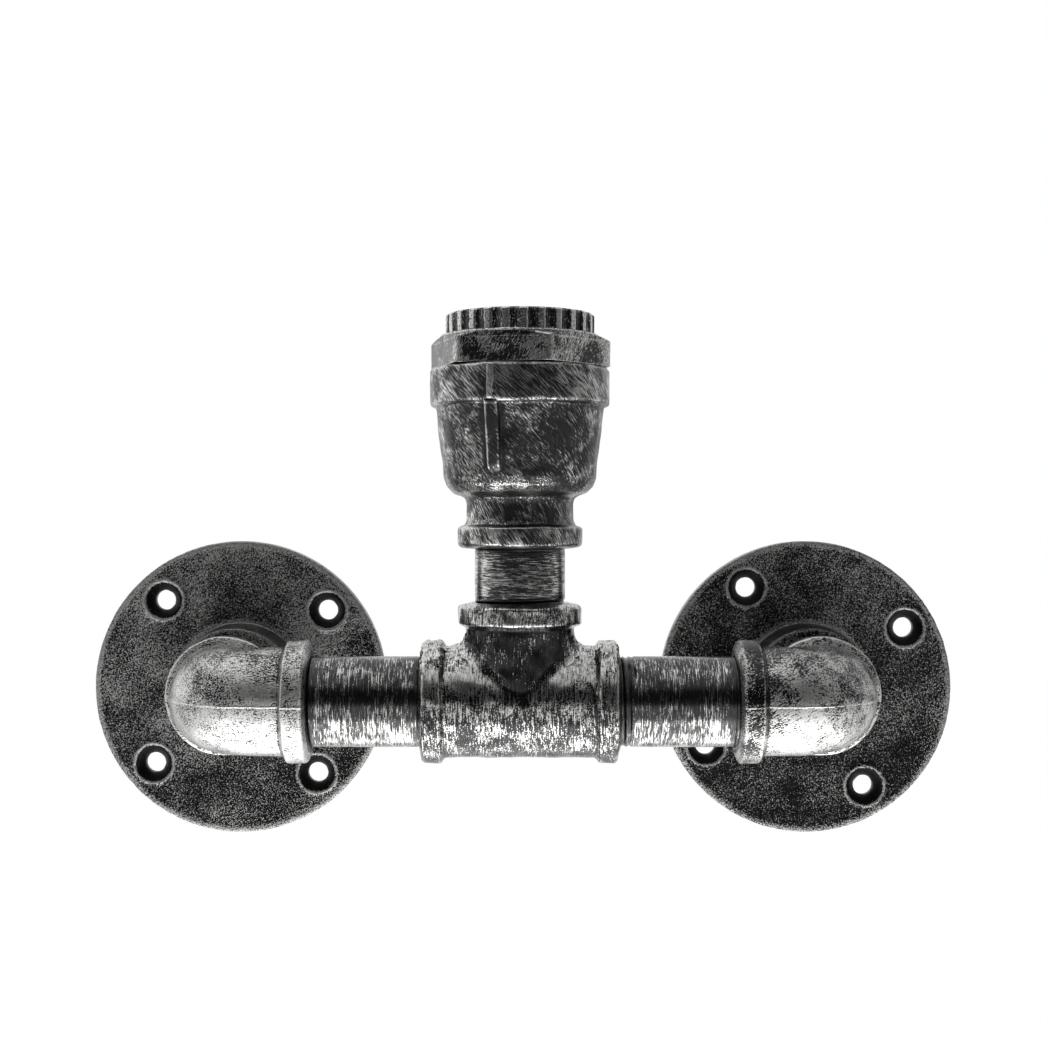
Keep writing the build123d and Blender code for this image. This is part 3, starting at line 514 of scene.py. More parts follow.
def flange_shells(wall_point, screw_angle):
    """A flange's closed skin: four quarters round their screw holes, a rim and a hub.

    A quarter is a grid of rays from its hole by rows that run from the edge of the quarter over the
    back to the hole, up through its countersink and out over the front. The rim and the hub are
    outlines turned at the angles where the quarters' rays meet them."""
    size, socket = sizes(), socket_radius()
    plate, radius, hub = size.flange_thickness, size.flange_radius, size.hub_radius
    top, hub_slope, chamfer = plate + size.hub_height, 1 * MM, 1.1 * MM
    foot, shoulder = hub + 3.2 * MM, radius - 1.7 * MM
    circle, hole, sink = radius - 9.7 * MM, 3.2 * MM, 5.4 * MM
    rays, reach = sector_rays(circle, foot, shoulder)
    share = np.linspace(0, 1, 46)[:, None] ** 1.5
    front = sink + (reach - sink) * share
    back = hole + (reach - hole) * np.linspace(1, 0, 12)[:, None]
    # Radius and height of the rows up the screw hole and its countersink
    throat = MM * np.array([(3.2, 1.2), (3.2, 2.2), (3.25, 2.5), (4.2, 3.65), (5.1, 4.7)])
    throat = np.broadcast_to(throat[..., None], (*throat.shape, len(rays)))
    lip = MM * (0.35 * hump(front, sink + 1.1 * MM, 0.8 * MM) - 0.12 * hump(front, sink, 0.4 * MM))
    lip *= 1 - share**4
    away = np.vstack([back, throat[:, 0], front])
    height = np.vstack([np.zeros_like(back), throat[:, 1], plate + lip])
    lip_wear = 1.7 * hump(front, sink + 0.9 * MM, 0.55 * MM) - 1.6 * hump(front, sink, 0.4 * MM)
    wear_and_painted_light = np.vstack([np.zeros_like(back), np.full_like(throat[:, 0], -1.6), lip_wear])
    flat = np.stack([circle + away * np.cos(rays), height, away * np.sin(rays)], axis=-1)
    bearing, distance = np.arctan2(flat[-1, :, 2], flat[-1, :, 0]), np.hypot(flat[-1, :, 2], flat[-1, :, 0])
    quarter_turns = screw_angle + np.arange(4) * np.pi / 2
    surfaces = []
    for turn in quarter_turns:
        spun = np.array([(np.cos(turn), 0, np.sin(turn)), (0, 1, 0), (-np.sin(turn), 0, np.cos(turn))])
        surfaces.append((flat @ spun, wear_and_painted_light))
    rim = [(shoulder, plate), (radius, plate), (radius, 0), (shoulder, 0)]
    bore = [(foot, 0), (socket, 0), (socket, top - chamfer), (socket + chamfer, top), (hub, top),
            (hub + hub_slope, plate), (foot, plate)]
    for edge, corners, rows, softness in ((shoulder, rim, 26, 0.6 * MM), (foot, bore, 90, 0.35 * MM)):
        outline = soft_outline(np.array(corners), rows, softness, closed=False)
        met = bearing[np.abs(distance - edge) < 1e-7][:, None] + quarter_turns
        angles = np.unique(met.round(9) % (2 * np.pi))
        surfaces.append(turned(columns(outline), (0, 0, 0), (0, 1, 0), (1, 0, 0), -angles))
    shells = []
    for spots, worn_and_painted_light in surfaces:
        from_axis, up = np.hypot(spots[..., 0], spots[..., 2]), spots[..., 1]
        # The rim and hub edges are worn brighter; the slight rise in bared metal towards the top of the
        # flange is painted light
        worn_and_painted_light = (
            worn_and_painted_light + 2.0 * rising(from_axis, radius - 2.2 * MM, 1.8 * MM)
            + 1.1 * hump(from_axis, hub + 1.9 * MM, 0.6 * MM) * (up > plate / 2)
            + 1.5 * hump(from_axis, hub - 0.2 * MM, 0.5 * MM) * (up > top - 1 * MM)
            - 0.4 * (up < 0.3 * MM) + 0.16 * np.clip(spots[..., 2] / (28 * MM), -1, 1)
        )
        free = (up > 1 * MM) * rising(from_axis, socket + 0.6 * MM, 1 * MM)
        placed = np.asarray(wall_point) + spots * (1, -1, 1)
        shells.append(open_shell((cast_skin(placed, 0.45, 2.4 * MM, 51, free), worn_and_painted_light)))
    return shells


class MakeFlanges(bpy.types.Operator):
    """Make the two wall flanges, with countersunk and lipped screw holes and a tapered hub"""

    bl_idname = "pipe_light.make_flanges"
    bl_label = "Wall flanges"

    def execute(self, context):
        turns = sizes().left_screw_angle, sizes().right_screw_angle
        for side, cover, turn in zip(("left", "right"), (0.25, 0.14), turns):
            finish = relieved_plate(
                f"Cast iron flange, gun-black plated and lightly brushed, {side}", (0.55, 0.55, 0.55),
                cover=cover, soft=0.6, specks=(0.3, 1.0), patches=(12.0, 0.6), edge=1.4, dark_rough=0.4,
                bright_rough=0.45, bump_mm=0.04, ground=0.2, bright=0.62,
            )
            node = f"{side}_flange"
            x, _, z = centre(node)
            shells = flange_shells((x, 0, z), turn)
            add_piece(f"{node}_casting", shells, WALL_FRAME, node, finish, weld=True)
        return {"FINISHED"}


def pipe_surface(start, end, across, shown_start, shown_end, painted_light_side):
    """A pipe's closed surface: outer radius, two chamfered ends and its bore.

    The outer radius is the pipe's radius less the thread's depth times a V wave of
    (distance / pitch - angle / full turn), inside the threaded zones, fading out at their ends.
    shown_start and shown_end count the threads that show outside the fittings. The bared share grows
    towards the side given last, a painted highlight where the lamps light the pipe, and is less in
    front, a painted dark reflection of the surroundings there."""
    size, angles = sizes(), even_angles(160)
    pitch, screwed, chamfer, step = size.thread_pitch, size.thread_length, 0.6 * MM, 0.16 * MM
    length = float(np.linalg.norm(np.subtract(end, start)))
    zone_start, zone_end = screwed + shown_start * pitch, length - screwed - shown_end * pitch
    fine_start, fine_end = screwed - 2 * pitch, length - screwed + 2 * pitch
    outer = np.concatenate([
        [0.0, chamfer],
        np.linspace(2 * chamfer, fine_start, 8),
        np.arange(fine_start, zone_start + pitch, step) + step,
        np.linspace(zone_start + 1.3 * pitch, zone_end - 1.3 * pitch, 24),
        np.arange(zone_end - pitch, fine_end, step),
        np.linspace(fine_end, length - 2 * chamfer, 8),
        [length - chamfer, length],
    ])[:, None]
    from_end = np.minimum(outer, length - outer)
    wave = 2 * np.abs((outer / pitch - angles[None, :] / (2 * np.pi)) % 1 - 0.5)
    fade = 1 - rising(outer, zone_start - pitch / 2, pitch) + rising(outer, zone_end - pitch / 2, pitch)
    thread = wave * np.clip(fade, 0, 1)
    radius = PIPE_RADIUS - size.thread_depth * thread * (outer > 2 * chamfer) * (outer < length - 2 * chamfer)
    radius = np.minimum(radius, PIPE_RADIUS - chamfer + from_end)
    wear_and_painted_light = -1.6 * thread - (1 - rising(from_end, screwed + 1.2 * MM, 1.4 * MM))
    bore = np.linspace(length, 0, 12)[:, None]
    bore_radius = np.full((len(bore), len(angles)), PIPE_RADIUS - size.pipe_wall)
    outline = np.vstack([radius, bore_radius]), np.vstack([outer, bore]), np.vstack([wear_and_painted_light, 0 * bore_radius])
    points, wear_and_painted_light = turned(outline, start, np.subtract(end, start) / length, across, angles)
    way = (points - points.mean(axis=1, keepdims=True)) / PIPE_RADIUS
    # Painted light: more bared metal towards the lit side given, and less in front as a painted dark
    # reflection
    return points, wear_and_painted_light + way @ np.array(painted_light_side) - 0.6 * np.clip(-way[..., 1], 0, 1) ** 4


def brushed_pipe(part, strokes, **look):
    """A pipe's finish, with the brush marks round the pipe."""
    return relieved_plate(f"Steel pipe, gun-black plated, brushed round, {part}", strokes, edge=1.0, **look)


class MakePipes(bpy.types.Operator):
    """Make the two arms, the riser and the two wall nipples, with their last threads showing"""

    bl_idname = "pipe_light.make_pipes"
    bl_label = "Steel pipes"

    def execute(self, context):
        fine, far_round = 0.19, 6.5
        arms = {
            side: brushed_pipe(f"{side} arm", (fine, far_round, far_round), cover=cover, patches=(6.0, 0.7),
                               bump_mm=0.003, soft=0.5)
            for side, cover in (("left", 0.38), ("right", 0.34))
        }
        upright = brushed_pipe("riser", (far_round, far_round, fine), turn=(0, math.radians(2), 0),
                               cover=0.56, patches=(6.0, 0.6), bump_mm=0.003)
        rear = brushed_pipe("wall nipples", (far_round, fine, far_round), cover=0.35)
        for side, shown in (("left", 0), ("right", 2)):
            node = f"{side}_arm_pipe"
            start, end = [(x, RUN_Y, RUN_Z) for x in sorted(span(node, 0), key=abs)]
            surface = pipe_surface(start, end, DOWNWARDS, shown, 0, (0, 0, -0.45))
            add_piece(f"{side}_arm_tube", [closed_shell(surface)], WALL_FRAME, node, arms[side])
            node = f"{side}_wall_nipple"
            x, _, z = centre(node)
            end, start = [(x, y, z) for y in span(node, 1)]
            surface = pipe_surface(start, end, DOWNWARDS, 2, 2, (0, 0, 0))
            add_piece(f"{side}_wall_tube", [closed_shell(surface)], WALL_FRAME, node, rear)
        start, end = [(LAMP_X, RUN_Y, z) for z in span("riser_pipe", 2)]
        surface = pipe_surface(start, end, (0, 1, 0), 0.6, 0, (-0.3, 0.25, 0))
        add_piece("riser_tube", [closed_shell(surface)], LAMP_HEAD, "riser_pipe", upright)
        return {"FINISHED"}


def band_corners(socket, body, band, width):
    """Corners (radius, distance from the mouth) of a fitting's band, from its lip to its body."""
    lip, slope, edge, shoulder, straight = 0.8 * MM, 0.9 * MM, 0.6 * MM, 1.0 * MM, 1.2 * MM
    return np.array([
        (socket + lip, 0), (band - edge, slope), (band, slope + edge), (band, width - edge / 2),
        (band - edge / 2, width), (body, width + shoulder), (body, width + shoulder + straight),
    ])


def past_lip(radius):
    """Share of the cast unevenness at a radius of a banded fitting: none in its bore and at its lips."""
    return rising(radius, socket_radius() + 0.8 * MM, 0.8 * MM)


def elbow_points(corner, arm, along_arm, along_rear, height):
    """Points from their distances along the arm, along the rear leg and above both."""
    return corner + np.stack(np.broadcast_arrays(along_arm, along_rear, height), axis=-1) * (arm, 1, 1)


def bend_lines(corner, arm, radius, progress, turn, reach_arm, reach_rear):
    """Lines of constant angle round an elbow: two straights joined by an arc.

    A line lies at offset u = radius * cos(angle) towards the inside of the bend and at height
    radius * sin(angle). Its arc has the bend's radius less u, kept above a small inside round.
    progress runs 0 to 1 along the arm leg, 1 to 2 round the arc and 2 to 3 along the rear leg."""
    inside_round, blend = 2.6 * MM, 1.2 * MM
    inside = radius * np.cos(turn)
    spare = sizes().bend_radius - inside - inside_round
    arc = inside_round + 0.5 * (spare + np.sqrt(spare**2 + blend**2))
    tangent = inside + arc
    angle = rising(progress, 1, 1) * np.pi / 2
    on_arm = reach_arm + (tangent - reach_arm) * rising(progress, 0, 1)
    on_rear = tangent + (reach_rear - tangent) * rising(progress, 2, 1)
    along_arm = np.where(progress < 1, on_arm, tangent - arc * np.sin(angle))
    along_rear = np.where(progress < 1, inside, tangent - arc * np.cos(angle))
    along_arm = np.where(progress > 2, inside, along_arm)
    along_rear = np.where(progress > 2, on_rear, along_rear)
    return elbow_points(corner, arm, along_arm, along_rear, radius * np.sin(turn))


def seam_ridge(turn, radius):
    """Height share of the parting seam: a narrow ridge where the surface crosses mid height."""
    return hump(radius * np.sin(turn), 0, 0.2 * MM)


class MakeElbows(bpy.types.Operator):
    """Make the two elbows, with a smooth bend, banded mouths and a parting seam"""

    bl_idname = "pipe_light.make_elbows"
    bl_label = "Elbows"

    def execute(self, context):
        size, socket = sizes(), socket_radius()
        even = even_angles(288)
        turn = (even - 0.3 * np.sin(2 * even))[None, :]
        ridge = seam_ridge(turn, size.elbow_body)
        legs = np.linspace(0.06, 1, 14), np.linspace(1, 2, 42)[1:], np.linspace(2, 3, 8)[1:]
        progress = np.concatenate(legs)[:, None]
        left_look = dict(
            name="Cast elbow, gun-black plated and brushed hard, left", strokes=(1.1, 0.25, 0.25),
            cover=0.57, soft=0.2, specks=(0.34, 1.2), patches=(7.0, 0.8), edge=1.3, ground=0.35,
        )
        right_look = dict(
            name="Cast elbow, gun-black plated and brushed, right", strokes=(1.8, 0.28, 0.28),
            turn=(0, math.radians(-30), 0), cover=0.5, soft=0.25, specks=(0.34, 1.1), patches=(6.0, 1.0),
            edge=1.5, ground=0.5,
        )
        for side, arm, unbrushed, look in (("left", 1, 0.0, left_look), ("right", -1, 0.5, right_look)):
            finish = relieved_plate(bright_rough=0.3, bump_mm=0.02, dim=0.72, **look)
            node = f"{side}_elbow"
            corner = np.array([centre(f"{side}_flange")[0], RUN_Y, RUN_Z])
            reach_arm = abs(span(node, 0)[side == "left"] - corner[0])
            reach_rear = span(node, 1)[1] - RUN_Y
            bend_end = reach_rear - 0.5 * MM
            # The arm's band, square to the arm
            corners = band_corners(socket, size.elbow_body, size.elbow_band, size.elbow_band_width)
            band = soft_outline(corners, 60, closed=False)
            band[:, 2] -= 1.6 * (band[:, 0] < socket + 1.5 * MM)
            band[:, 2] -= unbrushed * (band[:, 0] > size.elbow_band - 1 * MM)
            radius = band[:, 0:1] + size.seam_height * ridge
            from_corner = reach_arm - band[:, 1:2]
            banded = elbow_points(corner, arm, from_corner, radius * np.cos(turn), radius * np.sin(turn))
            # The body, from the band round the bend into the rear leg, and the bore back to the lip
            radius = size.elbow_body + size.seam_height * ridge
            body = bend_lines(corner, arm, radius, progress, turn, reach_arm - band[-1, 1], bend_end)
            bore = bend_lines(corner, arm, socket + 0.02 * MM, progress[::-1], turn, reach_arm, bend_end)
            radius = socket + 0.05 * MM
            lip = elbow_points(corner, arm, reach_arm, radius * np.cos(turn), radius * np.sin(turn))
            points = np.vstack([banded, body, bore, lip])
            outer_rows, inner_rows = len(banded) + len(body), len(bore) + len(lip)
            radii = np.repeat((size.elbow_body, socket), (outer_rows, inner_rows))
            radii[: len(band)] = band[:, 0]
            wear_and_painted_light = np.concatenate([band[:, 2], np.full(len(body), 0.1)])[:, None]
            # Painted highlight: the bared share grows towards the underside, where the lamp below lights the
            # bend; the seam ridge is worn brighter
            wear_and_painted_light = np.vstack([wear_and_painted_light + 0.8 * ridge - 0.35 * np.sin(turn), np.zeros((inner_rows, len(even)))])
            shell = cast_shell((points, wear_and_painted_light), 0.6, 7 * MM, 11, past_lip(radii)[:, None])
            # The rear band, a ring of its own outline round the rear leg
            ring_corners = np.vstack([
                band_corners(socket, size.elbow_body - 0.4 * MM, size.elbow_band, size.band_width)[:-1],
                [(socket + 0.3 * MM, 7.4 * MM), (socket + 0.3 * MM, 0)],
            ])
            radius, distance, wear_and_painted_light = columns(soft_outline(ring_corners, 64))
            rear_ridge = seam_ridge(even[None, :], size.elbow_band) * (radius > 16.5 * MM)
            outline = radius + size.seam_height * rear_ridge, distance, np.maximum(wear_and_painted_light, rear_ridge)
            mouth = (corner[0], RUN_Y + reach_rear, RUN_Z)
            rear = turned(outline, mouth, (0, -1, 0), (1, 0, 0), even)
            shells = [shell, cast_shell(rear, 0.6, 7 * MM, 11, past_lip(radius))]
            add_piece(f"{node}_casting", shells, WALL_FRAME, node, finish)
        return {"FINISHED"}


def blended_distance(points, run, branch, fillet):
    """Signed distance to the tee's body: a level and an upright cylinder, rounded where they meet.

    a and b are the distances to the run and to the branch. The round is fillet * (1 - cosine of the
    angle between their outward directions), and the value is
    max(round, min(a, b)) - length(max(round - a, 0), max(round - b, 0))."""
    x, y, z = points[:, 0], points[:, 1], points[:, 2]
    run_reach, branch_reach = np.hypot(y, z), np.hypot(x, y)
    a, b = run_reach - run, np.maximum(branch_reach - branch, -z)
    cosine = y * y / np.maximum(run_reach * branch_reach, 1e-9)
    round_here = np.maximum(fillet * (1 - cosine), 1e-7)
    inner = np.hypot(np.maximum(round_here - a, 0), np.maximum(round_here - b, 0))
    return np.maximum(round_here, np.minimum(a, b)) - inner


def slide_to_surface(points, distance, steps=9):
    """Newton steps along the distance's gradient until every point lies on the surface."""
    nudge = 1e-6
    for _ in range(steps):
        value = distance(points)
        slope = np.stack([(distance(points + nudge * axis) - value) / nudge for axis in np.eye(3)], axis=1)
        points = points - (value / np.maximum((slope**2).sum(axis=1), 0.1))[:, None] * slope
    return points


def leg_circle(up, angles):
    """Directions round a leg of the tee, from +Y at angle 0 towards up."""
    return np.cos(angles)[:, None] * np.array([0.0, 1.0, 0.0]) + np.sin(angles)[:, None] * np.array(up, float)


def tee_leg(direction, up, reach, radius, rows, angles):
    """One leg of three equal cylinders, from the seam it shares with the others out to its end.

    Round the leg's own axis, the seam lies at distance |radius * sin(angle)| where the branch meets
    the run, and at 0 on the run's lower half."""
    seam = radius * (np.abs(np.sin(angles)) if direction[2] else np.maximum(np.sin(angles), 0))
    distance = seam + (reach - seam) * np.linspace(0, 1, rows)[:, None]
    return radius * leg_circle(up, angles) + distance[..., None] * np.asarray(direction, float)


class MakeTee(bpy.types.Operator):
    """Make the tee, its run and branch blended by a field and banded at three mouths"""

    bl_idname = "pipe_light.make_tee"
    bl_label = "Tee"

    def execute(self, context):
        size, socket = sizes(), socket_radius()
        angles = even_angles(256)
        reach = span("tee", 2)[1] - RUN_Z
        first_radius = (size.tee_run + size.tee_branch) / 2
        run, branch = (size.tee_run, size.tee_run_band), (size.tee_branch, size.tee_branch_band)
        left, right = (-1, 0, 0), (1, 0, 0)
        shells = []
        for direction, up, (body, band_radius) in (
            (left, UPWARDS, run), (right, UPWARDS, run), (UPWARDS, right, branch)
        ):
            corners = band_corners(socket, body, band_radius, size.band_width)
            band = soft_outline(corners, 60, closed=False)[::-1]
            outer = tee_leg(direction, up, reach - band[0, 1], first_radius, 40, angles)
            outer = slide_to_surface(
                outer.reshape(-1, 3),
                lambda p: blended_distance(p, size.tee_run, size.tee_branch, size.crotch_round),
            ).reshape(outer.shape)
            out_along = (reach - band[1:, 1])[:, None, None] * np.array(direction, float)
            banded = band[1:, 0:1, None] * leg_circle(up, angles) + out_along
            bore = tee_leg(direction, up, reach, socket, 14, angles)[::-1]
            points = np.vstack([outer, banded, bore])
            radii = np.concatenate([np.full(len(outer), body), band[1:, 0], np.full(len(bore), socket)])
            free = past_lip(radii)[:, None]
            points = cast_skin(points, 1, 6 * MM, 23, free)
            # The rough lumps in both crotches, larger on the left
            x, z = points[..., 0], points[..., 2]
            crotch_low, crotch_high, crotch_side = 9 * MM, 20 * MM, 13 * MM
            lumpy = rising(z, crotch_low, 3 * MM) * (1 - rising(z, crotch_high, 2 * MM)) * free
            lumpy = lumpy * rising(np.abs(x), crotch_side, 3 * MM) * np.where(x < 0, 1.0, 0.4)
            points = cast_skin(points, 2, 2.2 * MM, 90, lumpy)
            # The brush skipped the hollow above the run, with an uneven edge
            x, z = points[..., 0], points[..., 2]
            above = (z - np.abs(x)) / MM + 0.9 * waves(points, 5 * MM, 71)
            skipped = rising(above, -2.1, 6) * (np.arange(len(points)) < len(outer) + 8)[:, None]
            band_wear = 0.25 * band[1:, 2] - 0.5 if direction[2] else band[1:, 2]
            wear_and_painted_light = np.concatenate([np.zeros(len(outer)), band_wear, np.zeros(len(bore))])[:, None]
            # Painted light: the bared share rises towards the top of the tee, lighter above and darker below
            wear_and_painted_light = wear_and_painted_light - 1.8 * skipped**2 * (3 - 2 * skipped) + 0.7 * np.clip(z / (8 * MM), -0.6, 1)
            shells.append(open_shell((points + (LAMP_X, RUN_Y, RUN_Z), wear_and_painted_light)))
        finish = relieved_plate(
            "Cast tee, gun-black plated and brushed round its run", (0.22, 4.5, 4.5), cover=0.44, soft=0.4,
            specks=(0.45, 1.0), patches=(6.0, 0.9), edge=1.1, bump_mm=0.006, ground=0.68,
        )
        add_piece("tee_casting", shells, LAMP_HEAD, "tee", finish, weld=True)
        return {"FINISHED"}


class MakeReducer(bpy.types.Operator):
    """Make the bell reducer, turned from one outline, with its two casting ribs"""

    bl_idname = "pipe_light.make_reducer"
    bl_label = "Bell reducer"

    def execute(self, context):
        corners = MM * np.array([
            (14.23, 0), (17.5, 0.5), (18.35, 1.3), (18.35, 6.05), (18.0, 6.4), (16.4, 7.0), (15.75, 8.4),
            (15.7, 13.4), (16.1, 14.9), (17.3, 15.7), (19.6, 16.5), (21.6, 18.4), (22.5, 20.8),
            (22.75, 23.5), (24.8, 41.4), (25.3, 41.9), (25.9, 41.9), (26.5, 42.5), (26.5, 52.3),
            (25.8, 53.0), (22.2, 53.0), (21.03, 51.9), (21.03, 37.5), (19.9, 37.5), (19.9, 23.3),
            (15.9, 19.3), (11.8, 19.3), (11.8, 14.0), (13.43, 14.0), (13.43, 1.0), (13.9, 0),
        ])
        outline = soft_outline(corners, 230, 0.3 * MM)
        radius, distance, wear_and_painted_light = columns(outline)
        near_rib = np.linspace(-0.14, 0.14, 90)
        angles = [even_angles(220), near_rib % (2 * np.pi), np.pi + near_rib]
        angles = np.unique(np.concatenate(angles).round(6))
        # Two ribs, half a turn apart, up the bowl and narrower on over the collar
        rib_radius, bowl_half, collar_half, flank = 23 * MM, 1.85 * MM, 0.75 * MM, 0.4 * MM
        bowl_start, bowl_end, collar_start, collar_end = 22.6 * MM, 42.0 * MM, 42.4 * MM, 52.4 * MM
        offset = np.abs(np.sin(angles))[None, :] * rib_radius
        top_mouth, bottom_mouth = 22.4 * MM, 14.4 * MM
        top_edge = np.argmax((outline[:, 1] > 50 * MM) & (outline[:, 0] < top_mouth))
        outside = np.arange(len(outline))[:, None] < top_edge
        bowl = rising(distance, bowl_start, 1.2 * MM) * (distance < bowl_end) * outside
        collar = rising(distance, collar_start, 0.4 * MM) * (distance < collar_end) * outside
        bowl_rib = bowl * (1 - rising(offset, bowl_half - flank / 2, flank))
        collar_rib = collar * (1 - rising(offset, collar_half - flank / 2, flank))
        radius = radius + 1.2 * MM * bowl_rib + 0.45 * MM * collar_rib
        # Painted light: a painted highlight on the ribs' left edges, a painted shadow beside each rib and
        # painted shade on its face
        lit_rib_edge_share = np.where(np.sin(angles) * np.cos(angles) < 0, 1.0, 0.35)[None, :]
        edge = 2.0 * hump(offset, bowl_half - 0.3 * MM, 0.4 * MM) * bowl * lit_rib_edge_share
        rib_painted_shadow = hump(offset, bowl_half + 0.8 * MM, 0.5 * MM) * bowl
        wear_and_painted_light = np.maximum(np.maximum(wear_and_painted_light, edge), 1.4 * collar_rib) - 1.2 * rib_painted_shadow - 0.35 * bowl_rib
        low = span("bell_reducer", 2)[0]
        points, wear_and_painted_light = turned_upright((radius, distance, wear_and_painted_light), low, math.radians(-18.4), angles)
        # Painted light: more bared metal towards the left of the bowl and less towards the collar's left, and
        # less on the bowl's front as a painted dark reflection
        leftness = (LAMP_X - points[..., 0]) / (22 * MM)
        frontness = np.clip((RUN_Y - points[..., 1]) / (24 * MM), 0, 1)
        wear_and_painted_light = (
            wear_and_painted_light + 0.14 * leftness + 0.4 * (distance < 6.6 * MM) * (distance > 1.8 * MM)
            + collar * (0.34 - 0.22 * leftness) + bowl * (0.06 - 0.3 * frontness**4)
        )
        mouth = np.where(distance > 48 * MM, top_mouth, bottom_mouth)
        free = outside * rising(radius, mouth, 1 * MM)
        shell = cast_shell((points, wear_and_painted_light), 1, 8 * MM, 31, free)
        finish = relieved_plate(
            "Cast reducer, gun-black plated and brushed on the slant", (0.15, 0.15, 5.0), cover=0.22,
            soft=0.3, specks=(0.4, 0.3), patches=(6.0, 0.7), edge=1.2, ground=0.62, dim=0.6,
            dark_rough=0.36, follow="slanted",
        )
        add_piece(
            "bell_reducer_casting", [shell], LAMP_HEAD, "bell_reducer", finish,
            slant=math.radians(-42),
        )
        return {"FINISHED"}


class MakeBushing(bpy.types.Operator):
    """Make the hexagon bushing, its flats rounded into each other and bevelled at the top"""

    bl_idname = "pipe_light.make_bushing"
    bl_label = "Hexagon bushing"

    def execute(self, context):
        # High powers turn the least of two radii, and the nearest of six flats, into soft edges
        flat_reach, flat_power, head_power = 23.7 * MM, 70, 90.0
        angles = even_angles(432)
        facing = np.maximum(np.cos(angles[:, None] - np.arange(6) * np.pi / 3), 1e-6)
        hexagon = flat_reach * (facing**flat_power).sum(axis=1) ** (-1 / flat_power)
        corners = MM * np.array([
            (20.95, 0.5), (20.95, 15.0), (27.4, 15.0), (27.4, 22.2), (24.9, 23.5), (18.0, 23.5), (18.0, 0),
            (20.4, 0),
        ])
        radius, distance, wear_and_painted_light = columns(soft_outline(corners, 170, 0.2 * MM))
        head_start, bore_limit = 14.9 * MM, 22 * MM
        head, outside = distance > head_start, radius > bore_limit
        trimmed = (radius**-head_power + hexagon**-head_power) ** (-1 / head_power)
        limited = np.where(head, trimmed, radius)
        corner_wear = rising(hexagon, 26.2 * MM, 0.9 * MM) * head * outside
        # Painted shade: the head's left flat is darker
        shaded_left_flat = (np.argmax(facing, axis=1) == 5) * head * outside
        wear_and_painted_light = np.maximum(wear_and_painted_light * (radius > 19 * MM), corner_wear) - 0.5 * shaded_left_flat
        low = span("hex_bushing", 2)[0]
        points, wear_and_painted_light = turned_upright((limited, distance, wear_and_painted_light), low, math.radians(18.1 - 30), angles)
        # Painted light: more bared metal towards the right of the head
        wear_and_painted_light = wear_and_painted_light + 0.12 * head * (points[..., 0] - LAMP_X) / (22 * MM)
        free = rising(limited, 21.5 * MM, 1 * MM)
        shell = cast_shell((points, wear_and_painted_light), 0.6, 8 * MM, 37, free)
        finish = relieved_plate(
            "Cast bushing, gun-black plated and brushed", (0.2, 0.2, 2.6), cover=0.3, soft=0.4,
            specks=(0.4, 0.5), patches=(7.0, 1.1), edge=1.4, bump_mm=0.012, follow="slanted",
        )
        add_piece(
            "hexagon_bushing_casting", [shell], LAMP_HEAD, "hex_bushing", finish,
            slant=math.radians(28),
        )
        return {"FINISHED"}


class MakeShadeRing(bpy.types.Operator):
    """Make the fluted shade ring"""

    bl_idname = "pipe_light.make_shade_ring"
    bl_label = "Shade ring"

    def execute(self, context):
        size = sizes()
        count = size.flute_count
        angles = even_angles(count * 18)
        corners = MM * np.array([
            (23.7, 0), (23.7, 0.4), (23.3, 0.8), (22.0, 0.9), (22.0, 6.5), (21.5, 7.0), (19.13, 7.0),
            (17.93, 5.8), (17.93, 0),
        ])
        radius, distance, wear_and_painted_light = columns(soft_outline(corners, 110, 0.14 * MM))
        # Place across a flute and the land beside it, from -0.5 to 0.5
        place = ((angles * count / (2 * np.pi) + 0.5) % 1 - 0.5)[None, :]
        flute = np.clip(1 - (place / 0.29) ** 2, 0, 1) ** 0.7
        fluted = rising(distance, 0.8 * MM, 0.3 * MM) * (radius > 21.0 * MM)
        radius = radius - size.flute_depth * flute * fluted
        # Raised lands are worn brighter and flutes stay dark; the lands start nearer the flute on one side, a
        # painted highlight on that side
        land = rising(np.abs(place), 0.25 + 0.05 * np.sign(place), 0.07)
        wear_and_painted_light = wear_and_painted_light * (1 - 0.5 * flute * fluted) + (1.3 * land - 0.6) * fluted
        low = span("shade_ring", 2)[0]
        surface = turned_upright((radius, distance, wear_and_painted_light), low, math.radians(2.6) + np.pi / count, angles)
        free = rising(radius, 19.6 * MM, 1 * MM) * rising(distance, 0.2 * MM, 0.5 * MM)
        shell = cast_shell(surface, 0.4, 6 * MM, 41, free)
        finish = relieved_plate(
            "Die-cast ring, gun-black plated and brushed", (0.35, 0.35, 1.6), cover=0.42, soft=0.5,
            specks=(0.4, 0.7), patches=(5.0, 0.5), edge=1.8, bump_mm=0.02,
        )
        add_piece("fluted_shade_ring", [shell], SHADE_RING, "shade_ring", finish)
        return {"FINISHED"}


